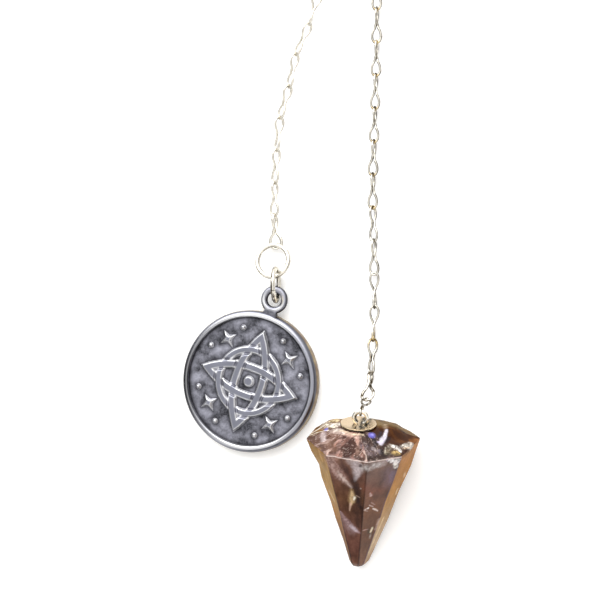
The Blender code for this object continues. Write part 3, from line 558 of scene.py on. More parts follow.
# painted shade: thin dark lines down the edges in front: corner, colour, strength, width
edgeLines = ((7, "#2b1a14", 0.8, 0.16), (0, "#2c1e1b", 0.6, 0.2), (1, "#54404c", 0.6, 0.22))
stoneSights = (
    # colour, strength, how broken up, how sharp, reach along the path, path
    # crown: glassy planes of painted internal reflections, the peg seen through it, mottled cloud beside it
    ("#83614f", 0.6, 0.15, 1.3, (1.2, 1.1), ((-3.7, -5.5, 1.0), (-2.6, -6.9, 0.75))),
    ("#4b3028", 0.55, 0.4, 1.5, (0.5,), ((-3.3, -5.3, 1.1), (-2.9, -6.9, 0.7))),
    ("#b8948a", 0.55, 0.55, 1.8, (0.5, 0.4), ((-2.3, -4.3, 1.8), (-1.6, -7.4, 0.5))),
    ("#381d18", 0.8, 0.35, 1.6, (0.7, 0.95), ((-0.9, -4.3, 1.85), (-0.1, -7.9, 0.35))),
    ("#a78475", 0.45, 0.55, 1.6, (0.4, 0.5), ((0.7, -4.4, 1.8), (1.5, -7.4, 0.6))),
    ("#3c2822", 0.6, 0.3, 1.4, (0.7,), ((0.8, -3.8, 2.0), (2.4, -4.2, 1.7))),
    ("#827278", 0.5, 0.6, 1.6, (1.0, 1.3), ((1.8, -5.0, 1.4), (3.5, -6.3, 0.6))),
    ("#b5a6a6", 0.65, 0.35, 1.6, (0.45,), ((3.3, -5.0, 1.1), (3.9, -5.3, 0.9))),
    ("#a0939a", 0.6, 0.3, 1.6, (0.4,), ((4.3, -5.0, 0.9), (4.6, -5.5, 0.7))),
    ("#1f1415", 0.85, 0.3, 1.5, (0.5, 0.7), ((4.6, -4.2, 1.1), (5.0, -5.6, 0.55))),
    # painted highlights: gleams along the table's edge and over the left of the crown, and a violet glint
    ("#f9f0dc", 0.8, 0.65, 1.7, (0.85, 0.9, 0.5), ((-6.6, 0.9, 1.0), (-5.3, -0.6, 1.6), (-3.9, -1.7, 2.0))),
    ("#f2dcd0", 0.85, 0.5, 1.8, (0.6, 0.6), ((-4.4, -2.5, 1.8), (-2.3, -3.4, 2.1))),
    ("#fdf6e8", 0.85, 0.5, 1.6, (0.8, 0.9), ((-5.0, -0.3, 1.8), (-3.9, -0.7, 2.2))),
    ("#f6e2b0", 0.7, 0.55, 1.5, (0.65,), ((-5.6, 1.3, 1.4), (-4.6, 0.9, 2.0))),
    ("#f4e6da", 0.8, 0.45, 1.6, (0.6,), ((-3.7, -2.4, 2.0), (-2.8, -2.6, 2.2))),
    ("#e2bfae", 0.85, 0.5, 1.8, (0.55,), ((-1.6, -3.6, 2.1), (0.5, -3.8, 2.0))),
    ("#e8d2b4", 0.8, 0.35, 2.0, (0.3,), ((-2.9, -2.7, 2.25), (-0.6, -3.5, 2.2), (1.0, -3.1, 2.25))),
    ("#eadad9", 0.85, 0.45, 1.5, (0.7, 0.55), ((-5.6, -3.0, 1.2), (-5.0, -4.6, 0.9))),
    ("#fff4e0", 0.95, 0.0, 4.0, (0.14,), ((-8.4, -2.3, 0.25), (-6.4, -2.0, 1.2), (-5.0, -2.2, 1.7))),
    ("#fff4e0", 0.95, 0.0, 4.0, (0.14,), ((-8.3, -1.6, 0.25), (-7.2, -0.2, 0.8), (-6.3, 0.6, 1.2))),
    ("#fff4e0", 0.8, 0.2, 3.0, (0.12,), ((-7.6, -0.6, 0.6), (-6.8, 1.3, 0.9))),
    ("#8487ea", 0.9, 0.3, 1.6, (0.5,), ((-5.7, -1.2, 1.4), (-5.4, -1.9, 1.4))),
    # brown glass and its painted reflections at the right of the cap, a painted white and violet glint with
    # painted shade beside it, and a painted violet glint left of it
    ("#7d653f", 0.9, 0.1, 1.4, (2.6, 2.2), ((2.6, 2.6, 2.2), (4.2, 2.8, 1.5))),
    ("#b7a188", 0.5, 0.3, 1.0, (0.7, 0.5), ((3.2, 1.4, 2.1), (4.0, -0.2, 1.75))),
    ("#a0683a", 0.7, 0.3, 1.3, (0.8,), ((7.9, 1.4, 0.3), (8.5, 2.6, 0.0))),
    ("#1f171e", 0.85, 0.1, 1.5, (0.5,), ((3.0, -3.2, 1.8), (3.5, -4.4, 1.4))),
    ("#2c2734", 0.75, 0.15, 1.4, (0.45,), ((3.3, -0.6, 2.0), (3.4, -2.4, 1.85))),
    ("#1f1417", 0.85, 0.1, 1.5, (0.55,), ((4.75, -1.0, 1.6), (4.7, -2.9, 1.4))),
    ("#f1ebfa", 0.95, 0.25, 1.8, (0.32, 0.42, 0.58, 0.45),
     ((3.9, 0.1, 1.8), (4.1, -1.3, 1.7), (4.05, -2.4, 1.55), (4.15, -3.5, 1.35))),
    ("#dcd0ea", 0.85, 0.25, 1.8, (0.28,), ((4.1, -3.1, 1.45), (3.6, -3.3, 1.5))),
    ("#6f6bd0", 0.9, 0.15, 1.4, (0.78,), ((2.25, -2.35, 2.15), (2.35, -2.5, 2.1))),
    ("#a6a3ee", 0.6, 0.0, 1.2, (0.4,), ((2.3, -2.3, 2.15),)),
    # inclusion at the right end of the girdle: cream, white and gold splinters with dark gaps
    ("#3a2218", 0.85, 0.2, 1.7, (1.2, 1.9, 1.4), ((5.2, -3.6, 1.0), (6.7, -3.2, 0.6), (7.9, -0.8, 0.4))),
    ("#948872", 0.85, 0.45, 1.7, (0.6, 0.75), ((5.5, -3.8, 1.0), (5.75, -4.9, 0.55))),
    ("#d6cbb6", 0.75, 0.1, 2.2, (0.17,), ((5.05, -3.9, 1.05), (5.25, -5.0, 0.6))),
    ("#cdbfae", 0.85, 0.5, 1.9, (0.9, 1.0), ((5.9, -3.1, 0.95), (6.9, -2.7, 0.65))),
    ("#faf6f0", 0.95, 0.45, 2.0, (0.5, 0.65), ((5.9, -2.9, 0.95), (6.6, -2.5, 0.75))),
    ("#f2cd84", 0.95, 0.25, 2.2, (0.66,), ((6.7, -4.3, 0.5), (7.0, -4.0, 0.45))),
    ("#ffffff", 0.9, 0.2, 2.2, (0.32,), ((7.25, -3.3, 0.5), (7.1, -2.9, 0.55))),
    ("#fff8ea", 0.95, 0.4, 1.9, (0.7, 0.95), ((7.3, -1.5, 0.5), (8.1, 0.1, 0.3))),
    ("#b98a50", 0.7, 0.3, 2.0, (0.2,), ((7.4, -1.9, 0.45), (8.0, -0.9, 0.3))),
    ("#431f14", 0.85, 0.1, 1.8, (0.3,), ((7.5, -2.5, 0.35), (8.1, -2.4, 0.15))),
    ("#e6d5f2", 0.9, 0.1, 1.8, (0.36,), ((6.0, -5.85, -0.05), (6.1, -5.8, -0.15))),
    # milky wedge under the girdle and the specks in it
    ("#bdaca9", 0.88, 0.25, 1.3, (0.9, 1.0), ((0.5, -8.1, -0.4), (5.4, -6.2, -0.6))),
    ("#d4c6c8", 0.88, 0.3, 1.3, (1.3, 1.2, 0.35),
     ((1.5, -7.8, -0.8), (1.7, -7.6, -1.8), (1.1, -7.1, -4.2))),
    ("#dad3d0", 0.8, 0.4, 1.3, (1.3, 0.8), ((2.8, -7.5, -0.9), (4.8, -6.7, -0.8))),
    ("#33262b", 0.9, 0.2, 1.6, (0.36,), ((2.2, -7.9, -0.9), (2.3, -7.9, -0.7))),
    ("#33262b", 0.8, 0.2, 1.6, (0.36,), ((3.5, -7.5, -0.7), (3.7, -7.4, -0.5))),
    # left of it a pinkish veil that runs down the body
    ("#a47f75", 0.55, 0.5, 1.2, (2.3, 1.8), ((-3.1, -7.9, -0.7), (-1.6, -7.3, -3.0))),
    ("#ccaea6", 0.65, 0.55, 1.3, (1.2, 1.3, 0.6),
     ((-2.7, -8.0, -0.9), (-1.2, -7.0, -3.6), (0.3, -6.5, -5.3))),
    ("#dfc9bf", 0.7, 0.35, 1.3, (0.3, 0.5, 0.35),
     ((-1.6, -7.4, -2.8), (-0.6, -6.9, -4.2), (0.5, -6.5, -5.5))),
    ("#35282a", 0.65, 0.35, 1.2, (0.6, 0.9, 0.6),
     ((-0.8, -8.1, -0.3), (-0.2, -7.6, -2.1), (0.6, -6.9, -4.2))),
    # dark crack in the middle, with a cream streak along its left side
    ("#3a2a27", 0.6, 0.25, 1.0, (0.9, 1.5, 1.3, 0.6),
     ((1.0, -7.3, -3.2), (1.0, -6.5, -5.6), (1.1, -5.3, -9.5), (1.1, -4.0, -13.5))),
    ("#2a2427", 0.78, 0.4, 1.0, (0.7, 1.15, 1.0, 0.5),
     ((1.3, -6.9, -4.3), (1.4, -6.4, -5.9), (1.45, -5.8, -7.9), (1.75, -5.2, -9.4))),
    ("#2a1d1b", 0.6, 0.15, 1.4, (0.4, 0.35, 0.2),
     ((1.8, -5.3, -9.2), (1.8, -4.9, -10.6), (1.8, -4.4, -12.0))),
    ("#a88962", 0.8, 0.4, 1.1, (0.6, 1.0, 0.9, 0.4, 0.2),
     ((0.5, -6.3, -6.1), (0.45, -5.9, -7.3), (0.3, -5.6, -8.4), (0.0, -5.3, -9.4), (-0.2, -4.9, -10.8))),
    ("#d8b98e", 0.9, 0.3, 1.4, (0.35, 0.7, 0.55, 0.2),
     ((0.5, -6.2, -6.4), (0.5, -5.9, -7.3), (0.35, -5.6, -8.3), (0.05, -5.3, -9.3))),
    ("#dcb5a6", 0.6, 0.1, 1.6, (0.3, 0.14), ((0.1, -5.4, -8.9), (-0.2, -4.95, -10.4))),
    ("#faf2e2", 0.95, 0.2, 1.4, (0.3, 0.2), ((0.85, -5.85, -7.4), (0.7, -5.75, -8.0))),
    ("#b99d8c", 0.6, 0.0, 2.5, (0.12,), ((1.15, -6.0, -7.0), (1.7, -5.95, -7.3))),
    ("#c9b7ae", 0.6, 0.0, 2.0, (0.2,), ((2.0, -6.5, -5.4),)),
    ("#88503e", 0.5, 0.3, 1.0, (1.4,), ((2.8, -6.6, -5.2), (4.6, -4.6, -6.2))),
    ("#7d6878", 0.5, 0.2, 0.8, (2.0, 1.6), ((6.0, -4.8, -2.4), (5.7, -4.0, -5.2))),
    ("#80708c", 0.45, 0.2, 0.9, (0.9,), ((6.5, -4.3, -2.8), (6.2, -3.9, -4.6))),
    ("#ecccc6", 0.7, 0.5, 1.4, (0.3,), ((3.25, -5.4, -6.4), (3.4, -5.3, -7.0))),
    ("#9c4034", 0.8, 0.0, 2.0, (0.13,), ((3.5, -5.4, -6.4), (3.55, -5.3, -7.0))),
    # short bright dashes right of the crack
    ("#e8cfc4", 0.8, 0.1, 2.2, (0.12, 0.2), ((2.3, -4.97, -9.8), (2.8, -4.65, -9.55))),
    ("#fff3ea", 0.9, 0.0, 2.5, (0.2,), ((2.82, -4.62, -9.57),)),
    ("#d9b9ac", 0.6, 0.0, 2.2, (0.13,), ((2.37, -4.87, -9.95), (2.75, -4.5, -10.2))),
    ("#dcbfb4", 0.7, 0.1, 2.2, (0.14,), ((3.0, -4.65, -9.0), (3.5, -4.1, -9.45))),
    ("#fbe6da", 0.85, 0.1, 2.2, (0.16, 0.2, 0.13),
     ((3.45, -3.95, -9.85), (3.7, -3.6, -10.1), (4.0, -3.15, -10.5))),
    ("#c9a598", 0.55, 0.1, 2.0, (0.13,), ((3.3, -4.6, -8.5), (3.75, -4.0, -9.1))),
    # lower veil, from a point at the left edge down to the right
    ("#997c7a", 0.7, 0.35, 1.1, (0.4, 1.2, 1.7),
     ((-1.8, -4.7, -11.1), (-1.1, -4.2, -12.9), (-0.3, -3.7, -14.5))),
    ("#bb9ea0", 0.7, 0.35, 1.2, (0.25, 0.7, 1.0, 0.35),
     ((-1.8, -4.7, -11.0), (-0.9, -4.2, -12.6), (0.0, -3.85, -13.9), (1.2, -3.6, -14.7))),
    ("#d9ccd6", 0.6, 0.3, 1.3, (0.5,), ((-0.1, -3.85, -13.6), (0.6, -3.7, -14.3))),
    ("#c49c92", 0.75, 0.1, 2.4, (0.12,), ((0.95, -3.78, -13.75), (1.7, -3.5, -14.15), (2.45, -3.0, -14.1))),
    ("#d8b9a5", 0.6, 0.3, 1.2, (0.35, 0.45), ((3.4, -1.95, -14.4), (4.05, -2.3, -12.4))),
    ("#4a3c22", 0.7, 0.2, 1.5, (0.3,), ((2.4, -2.8, -14.1), (2.5, -2.6, -14.9))),
    ("#f2dfbe", 0.85, 0.45, 1.6, (0.28,), ((2.95, -2.45, -13.9), (2.8, -2.5, -14.9))),
    ("#b9aba0", 0.6, 0.45, 1.4, (0.26,), ((2.75, -2.3, -15.2), (2.5, -2.0, -16.1))),
    # the inclusion goes on a little under the girdle
    ("#c59a8a", 0.85, 0.35, 1.6, (0.9, 1.0), ((6.3, -5.4, -0.3), (7.2, -4.4, -0.7))),
    ("#ffffff", 0.95, 0.35, 2.4, (0.6, 0.75), ((6.3, -5.4, -0.3), (7.1, -4.5, -0.6))),
    ("#efe6de", 0.85, 0.3, 1.8, (0.5,), ((6.85, -4.55, -1.3), (7.0, -4.3, -1.8))),
    # painted highlights: light patches in the side facets
    ("#d9bd8c", 0.6, 0.4, 1.2, (0.8,), ((-4.0, -3.8, -8.4), (-3.4, -4.0, -9.4))),
    ("#dba765", 0.5, 0.25, 1.2, (0.8, 0.6), ((-5.0, -6.5, -0.2), (-4.6, -6.3, -1.9))),
    ("#f2d9b0", 0.8, 0.4, 1.6, (0.55, 0.5), ((6.6, 1.8, -5.9), (6.7, 1.2, -5.2))),
    ("#ecd0a2", 0.7, 0.4, 1.5, (0.5,), ((5.7, 1.3, -9.0), (5.9, 1.1, -8.3))),
    ("#ecd2a8", 0.7, 0.3, 1.6, (0.5, 0.3), ((4.4, -0.6, -13.0), (2.0, -0.6, -19.5))),
)
# dark cracks run through the inclusion: path, reach
inclusionPaths = (
    (((5.5, -3.7, 0.9), (6.9, -3.2, 0.6), (8.0, -0.2, 0.3)), 1.5),
    (((6.3, -5.4, -0.3), (7.1, -4.5, -0.7), (7.0, -4.3, -1.8)), 0.9),
)


def mixIn(colours, hexText, share, shade=1.0):
    # lays one colour over the others by its share at each point, lightened or darkened by the shade
    tone = np.array(linearColour(hexText)[:3]) * np.reshape(shade, (-1, 1))
    colours += (tone - colours) * np.reshape(share, (-1, 1))


def stoneColours(values, points, facets, cornerNear):
    x, y, z = points.T
    inFront, onSides = np.isin(facets, frontFacets), np.isin(facets, sideFacets)
    streaks = cloudy(points, values["streaks"])
    clouds = cloudy(points, values["clouds"], 11.0)
    # the crown laid out flat, so that its cracks run out from the table to the girdle
    laidOut = np.column_stack([np.arctan2(x, -y) * 6.0, np.hypot(x, y), z])
    outwards = wispy(laidOut, 0.8, 1.6)
    tone, border = shards(outwards, values["cracks"], 3.0)
    rays = cloudy(outwards, values["rays"], 5.0)
    flakes, _ = shards(outwards, values["flakes"], 13.0)
    colours = np.zeros((len(points), 3))
    for facet in range(8):
        on = facets == facet
        colours[on] = ramp(z[on], facetTones[facetNames.get(facet, "underside")])
        crown = on & (z > values["crownStart"])
        share = tone[crown] * 0.45 + rays[crown] * 0.45 + flakes[crown] * 0.1
        colours[crown] = ramp((share - 0.15) / 0.7, crownTones[crownNames.get(facet, "back")])
    # shaded by streaks and clouds, less on the side facets
    body = np.where(onSides, 0.75 + 0.3 * streaks + 0.2 * clouds, 0.45 + 0.65 * streaks + 0.45 * clouds)
    colours *= np.where(z > values["crownStart"], 0.75 + 0.45 * clouds, body)[:, None]
    # painted highlights: glints along splinter edges and sparkles on tiny flaws, most of them in the crown's
    # front
    crackle = smoothStep((z + 0.6) / 1.2) * np.where(np.isin(facets, rightBackFacets), 0.0, 1.0)
    glint = crackle * smoothStep((0.06 - border) / 0.05) * smoothStep((rays - 0.5) / 0.15)
    mixIn(colours, values["glint"], glint * 0.55)
    sparks = smoothStep((cloudy(points, values["sparks"], 23.0) - 0.79) / 0.12)
    mixIn(colours, values["spark"], sparks * crackle * np.where(z > -1.5, 0.6, 0.0))
    # painted shade: dark lines down the front edges
    for corner, hexText, strength, width in edgeLines:
        mixIn(colours, hexText, smoothStep(1.3 - cornerNear[:, corner] / width) * strength * (z < 0))
    # sights break up into splinters in the crown and into fibres down the body
    loose = wispy(points, 0.5, 0.9)
    splinters, _ = shards(loose, values["splinters"], 9.0)
    grain = cloudy(loose, values["grain"], 5.0)
    fibres = cloudy(loose, values["fibres"], 7.0)
    texture = np.where(z > -1.2, splinters * 0.45 + grain * 0.55, fibres)
    for hexText, strength, broken, sharp, reach, path in stoneSights:
        near = nearPath(points, path, np.array(reach) * (1.0 + 0.35 * broken))
        picked = 1 - broken * (1 - smoothStep((texture - 0.25 - 0.25 * broken) / 0.22))
        mask = smoothStep(near * sharp - broken * 0.7 * (1 - grain)) * picked * strength
        mixIn(colours, hexText, mask, 1 + (texture - 0.5) * broken)
    # the inclusion's splinters, with dark gaps between them
    tone, border = shards(wispy(points, 0.35, 0.7), values["inclusionGrain"], 21.0)
    for path, reach in inclusionPaths:
        inside = smoothStep(nearPath(points, path, reach) * 2)
        colours *= (1 - 0.35 * tone * inside)[:, None]
        mixIn(colours, values["inclusionGap"], smoothStep((0.11 - border) / 0.07) * inside * 0.8)
    # painted highlight: a pale line along the girdle in front; on the right a dark line above it
    girdle = np.exp(-((z - 0.06) / 0.09) ** 2) * inFront
    mixIn(colours, values["girdleHighlight"], girdle * (0.55 + 0.45 * smoothStep((grain - 0.3) / 0.2)))
    mixIn(colours, values["aboveGirdle"], np.exp(-((z - 0.42) / 0.16) ** 2) * (facets == 0) * 0.8)
    return np.clip(colours, 0.002, 1.0)


def buildStone(values, material):
    rows, facets, across = stoneShape(values)
    rowCount, columnCount = rows.shape[:2]
    points = rows.reshape(-1, 3)
    faces = gridFaces(rowCount, columnCount)
    plain = bpy.data.meshes.new("plainStone")
    plain.from_pydata(points.tolist(), [], faces)
    normals = normalsOf(plain)
    bpy.data.meshes.remove(plain)
    normals *= np.sign((normals[:, :2] * points[:, :2]).sum(axis=1).mean())
    wave = fieldOf(noise.noise, points, values["waveSize"]) * 0.5 + 0.5
    ripple = fieldOf(noise.noise, points, values["rippleSize"], 7.0) * 0.5 + 0.5
    moved = points - normals * (values["wave"] * wave + values["ripple"] * ripple)[:, None]
    for middle, reach, push in values["dents"]:
        away = np.linalg.norm(points - middle, axis=1)
        moved += (np.clip(1 - (away / reach) ** 2, 0, 1) ** 1.5)[:, None] * np.array(push)
    turn = np.array(stonePlace)
    world = moved @ turn[:3, :3].T + turn[:3, 3]
    world[:, 2] = np.maximum(world[:, 2], 0.0)  # flat where it lies on the surface
    faces += [tuple(reversed(range(columnCount))),
              tuple((rowCount - 1) * columnCount + j for j in range(columnCount))]
    piece = meshPiece("quartzPoint", world, faces, material)
    fixed = bmesh.new()
    fixed.from_mesh(piece.data)
    bmesh.ops.recalc_face_normals(fixed, faces=fixed.faces)
    fixed.to_mesh(piece.data)
    fixed.free()
    piece.data.set_sharp_from_angle(angle=math.radians(values["sharpFrom"]))
    onFacet = np.tile(facets, rowCount)
    reach = np.hypot(points[:, 0], points[:, 1]) / values["girdleRadius"]
    fromCorner = (1 - np.tile(across, (rowCount, 1))) * values["sideLength"] * reach[:, None]
    colours = stoneColours(values, points, onFacet, fromCorner)
    gloss, onCrown = values["gloss"], points[:, 2] > values["crownGlossStart"]
    paint(piece, "polish", np.select(
        [onCrown & np.isin(onFacet, rightBackFacets), onCrown, np.isin(onFacet, frontFacets)],
        [gloss["rightBackCrown"], gloss["crown"], gloss["front"]], gloss["rest"],
    ))
    layer = piece.data.attributes.new("tint", "FLOAT_COLOR", "POINT")
    layer.data.foreach_set("color", np.column_stack([colours, np.ones(len(points))]).ravel())
    return piece


def smokyQuartz(values):
    # smoky quartz, lapped and polished: cloudy brown body with cracks in it and painted gleams, glints and
    # reflections, under a wet gloss
    material, tree, shader = newMaterial("polishedSmokyQuartz", {
        "IOR": 1.544, "Roughness": 0.06, "Transmission Weight": 0.12, "Specular IOR Level": 0.0,
        "Coat Roughness": 0.03, "Coat IOR": 1.5,
    })
    place = addNode(tree, "ShaderNodeTexCoord").outputs["Object"]
    tint = addNode(tree, "ShaderNodeAttribute", attribute_name="tint").outputs["Color"]
    specks = addNode(tree, "ShaderNodeTexNoise", {
        "Vector": place, "Scale": 1 / (values["speckSize"] * mm), "Detail": 4.0, "Roughness": 0.7,
    })
    darker, lighter = values["speckShades"]
    lightness = addNode(tree, "ShaderNodeMapRange", {
        "Value": specks.outputs["Fac"], "From Min": 0.3, "From Max": 0.7, "To Min": darker, "To Max": lighter,
    })
    mottled = addNode(tree, "ShaderNodeVectorMath", {
        0: tint, "Scale": lightness.outputs["Result"],
    }, operation="SCALE")
    tree.links.new(mottled.outputs["Vector"], shader.inputs["Base Color"])
    scratches = addNode(tree, "ShaderNodeTexNoise", {
        "Vector": place, "Scale": 1 / (values["scratchSize"] * mm), "Detail": 3.0,
    })
    bump = addNode(tree, "ShaderNodeBump", {
        "Height": scratches.outputs["Fac"], "Strength": 0.1, "Distance": values["scratchDepth"] * mm,
    })
    tree.links.new(bump.outputs["Normal"], shader.inputs["Normal"])
    polish = addNode(tree, "ShaderNodeAttribute", attribute_name="polish").outputs["Fac"]
    tree.links.new(polish, shader.inputs["Coat Weight"])
    return material


quartzPiece = buildStone(stone, smokyQuartz(stone))
finishPiece(quartzPiece, "stone")
print("stone done:", len(quartzPiece.data.polygons), "faces")


# cap: a plate glued on the stone's table, with an upright eye of wire soldered to it
cap = {
    "plateRadius": 2.9, "plateThickness": 0.4, "plateEdge": 0.12, "plateWobble": 0.02, "seatGap": 0.05,
    "eyeRadius": 1.05, "eyeWire": 0.75, "eyeSink": 0.45, "eyeShift": 0.35, "eyeTurn": 8.0,
    "eyeStart": -60.0, "eyeSweep": 300.0, "pegRadius": 0.65, "pegLength": 3.2, "pegRise": 0.2,
    "plateSteps": 72, "plateRings": 18, "pegSteps": 24, "eyeSegments": 48, "eyeSides": 16,
    # painted shade in the dark tarnish colour: round the eye's foot, along the plate's side under its rim,
    # towards the plate's front, and inside the eye
    "eyeFootShadePath": ((0.1, 2.0), (0.4, -1.3)), "eyeFootShadeReach": (1.0, 0.8),
    "rimShade": 0.85, "frontShade": 0.3, "insideEyeShade": 0.9,
}
plateTop = tableHeight + cap["seatGap"] + cap["plateThickness"]
eyeHeight = plateTop + cap["eyeRadius"] + cap["eyeWire"] / 2 - cap["eyeSink"]
eyeMiddle = Vector((cap["eyeShift"] - stone["tableOffset"], 0.0, eyeHeight))


def turnedShape(profile, steps, wobble):
    # closed lathe shape, with a slight unevenness round the edge
    points, count = [], len(profile)
    for radius, height in profile:
        for j in range(steps):
            angle = 2 * math.pi * j / steps
            size = radius * (1 + wobble * noise.noise(Vector((math.cos(angle), math.sin(angle), 0.3)) * 1.7))
            points.append((size * math.cos(angle), size * math.sin(angle), height))
    faces = gridFaces(count, steps)
    faces += [tuple(range(steps)), tuple((count - 1) * steps + j for j in reversed(range(steps)))]
    return np.array(points), faces


def joined(name, pieces):
    whole = bmesh.new()
    materials = []
    for piece in pieces:
        start = len(whole.faces)
        whole.from_mesh(piece.data)
        whole.faces.ensure_lookup_table()
        for face in whole.faces[start:]:
            own = piece.data.materials[face.material_index]
            if own not in materials:
                materials.append(own)
            face.material_index = materials.index(own)
            face.smooth = True
    bmesh.ops.recalc_face_normals(whole, faces=whole.faces)
    mesh = bpy.data.meshes.new(name)
    whole.to_mesh(mesh)
    whole.free()
    for own in materials:
        mesh.materials.append(own)
    for piece in pieces:
        bpy.data.objects.remove(piece, do_unlink=True)
    return placed(name, mesh)


def buildCap(values, material, eyeMaterial):
    low, high = tableHeight + values["seatGap"], plateTop
    r, edge = values["plateRadius"], values["plateEdge"]
    plateProfile = [
        (0.05, low), (r - edge, low), (r - edge * 0.3, low + edge * 0.3), (r, low + edge),
        (r, high - edge), (r - edge * 0.3, high - edge * 0.3), (r - edge, high),
    ]
    plateProfile += [(share * r, high) for share in np.linspace(0.9, 0.02, values["plateRings"])]
    top = tableHeight + values["pegRise"]
    pegProfile = [(values["pegRadius"], top - values["pegLength"]), (values["pegRadius"], top)]
    pieces = []
    for name, profile, steps, wobble in (
        ("capPlate", plateProfile, values["plateSteps"], values["plateWobble"]),
        ("capPeg", pegProfile, values["pegSteps"], 0.0),
    ):
        points, faces = turnedShape(profile, steps, wobble)
        pieces.append(meshPiece(name, points - (stone["tableOffset"], 0.0, 0.0), faces, material))
        pieces[-1].data.transform(inMetres(stonePlace))
    upright = Euler((math.pi / 2, 0.0, math.radians(values["eyeTurn"]))).to_matrix().to_4x4()
    pieces.append(bentWire(
        "capEye", eyeMaterial, stonePlace @ Matrix.Translation(eyeMiddle) @ upright,
        values["eyeRadius"], values["eyeWire"], values["eyeStart"], values["eyeSweep"],
        values["eyeSegments"], values["eyeSides"],
    ))
    return joined("capWithEye", pieces)


def shadeCap(piece, values):
    # painted shade, laid in the dark tarnish colour: round the eye's foot, along the plate's side under its
    # rim, towards its front and inside the eye
    points = np.array([stonePlace.inverted() @ (vertex.co / mm) for vertex in piece.data.vertices])
    x, y, z = points.T
    eyeFootShadePath = [(*spot, plateTop) for spot in values["eyeFootShadePath"]]
    eyeFootShade = smoothStep(nearPath(points, eyeFootShadePath, values["eyeFootShadeReach"]) * 2.0)
    rimShadeLine = smoothStep((plateTop - 0.06 - z) / 0.08) * values["rimShade"]
    front = smoothStep((-1.3 - y) / 1.4) * values["frontShade"]
    fromEye = np.hypot(x - eyeMiddle.x, z - eyeMiddle.z)
    eyeInsideShade = smoothStep((1.0 - fromEye) / 0.2) * values["insideEyeShade"]
    plateShade = np.maximum.reduce([eyeFootShade, rimShadeLine, front])
    paint(piece, "tarnishAndShade", np.where(z > plateTop + 0.05, eyeInsideShade, plateShade))


capPiece = buildCap(cap, paleGoldPlate, silverWire)
shadeCap(capPiece, cap)
finishPiece(capPiece, "cap")
print("cap done")


# medal: a cast disc with raised figures, and its loop
medal = {
    "place": (-9.10, -33.00), "turn": 17.9, "radius": 11.88, "thickness": 2.5, "rimWidth": 1.16,
    "fieldDepth": 0.58, "reliefHeight": 0.46, "bevel": 0.30,
    "ovalLength": 9.0, "ovalWidth": 3.2, "ovalBand": 1.55, "ringRadius": 5.35, "ringBand": 1.4,
    "bossRadius": 1.0, "starRadius": 1.65, "starWaist": 0.65, "starPlace": 8.0,
    "pelletRadius": 0.5, "pelletPlace": 9.05, "pelletSpread": 21.0,
    "segments": 480, "ringSpacing": 0.085,
    "loopReach": 14.34, "loopRadius": 1.76, "loopWire": 1.17, "loopHeight": 1.65,
    # the loop's neck at the disc and at the loop: half width, lower side, upper side
    "neck": ((1.45, 1.05, 2.15), (0.95, 1.2, 2.1)),
    "loopSegments": 64, "loopSides": 20, "meltSize": 0.09, "softenSteps": 8,
    "unevenness": 0.02, "unevenScale": 0.35,  # of the cast surface
    # colours from dark to light, and the patterns: size, detail, roughness
    # the flank colours are a painted warm reflection on the side wall; the brightest colour is both the
    # rubbed figure edges and painted highlights on the rim and the loop; the darkest is both the patina and
    # painted shade
    "field": ("#333337", "#b6b6c2"), "figures": ("#888992", "#a6a7b4"), "flank": ("#664c2a", "#99865f"),
    "pooled": "#0d0d10", "rubbedAndHighlight": "#fafafa",
    "grain": (0.35, 5.0, 0.65), "blotch": (2.6, 3.0, 0.55), "mottle": (2.2, 3.0, 0.5),
    "cloud": 0.36, "dull": 0.5, "satin": 0.3, "grainDepth": 0.03,
}


def ovalDistance(x, y, halfLength, halfWidth):
    radius = (halfLength ** 2 + halfWidth ** 2) / (2 * halfWidth)
    offset = radius - halfWidth
    return np.maximum(np.hypot(x, y + offset), np.hypot(x, y - offset)) - radius


def bandDistance(distance, band):
    return np.maximum(distance, -(distance + band))


def outlineDistance(x, y, outline):
    nearest = np.full(x.shape, 1e9)
    inside = np.zeros(x.shape, dtype=bool)
    for (x0, y0), (x1, y1) in zip(outline, outline[1:] + outline[:1]):
        dx, dy = x1 - x0, y1 - y0
        t = np.clip(((x - x0) * dx + (y - y0) * dy) / (dx * dx + dy * dy), 0, 1)
        nearest = np.minimum(nearest, np.hypot(x - x0 - t * dx, y - y0 - t * dy))
        crosses = ((y0 > y) != (y1 > y)) & (x < (x1 - x0) * (y - y0) / ((y1 - y0) or 1e-12) + x0)
        inside ^= crosses
    return np.where(inside, -nearest, nearest)


def reliefFigures(values, x, y):
    # signed distance to each raised figure, negative on it
    longOval, crossOval = (
        bandDistance(ovalDistance(a, b, values["ovalLength"], values["ovalWidth"]), values["ovalBand"])
        for a, b in ((x, y), (y, -x))
    )
    ring = np.abs(np.hypot(x, y) - values["ringRadius"]) - values["ringBand"] / 2
    small = [np.hypot(x, y) - values["bossRadius"]]
    for quarter in range(4):
        angle = math.pi / 4 + quarter * math.pi / 2
        spot = (values["starPlace"] * math.cos(angle), values["starPlace"] * math.sin(angle))
        outline = []
        for i in range(8):
            reach = values["starRadius"] if i % 2 == 0 else values["starWaist"]
            outline.append((
                spot[0] + reach * math.cos(angle + i * math.pi / 4),
                spot[1] + reach * math.sin(angle + i * math.pi / 4),
            ))
        small.append(outlineDistance(x, y, outline))
        for side in (-1, 1):
            spread = angle + side * math.radians(values["pelletSpread"])
            small.append(np.hypot(
                x - values["pelletPlace"] * math.cos(spread), y - values["pelletPlace"] * math.sin(spread)
            ) - values["pelletRadius"])
    return longOval, crossOval, ring, small


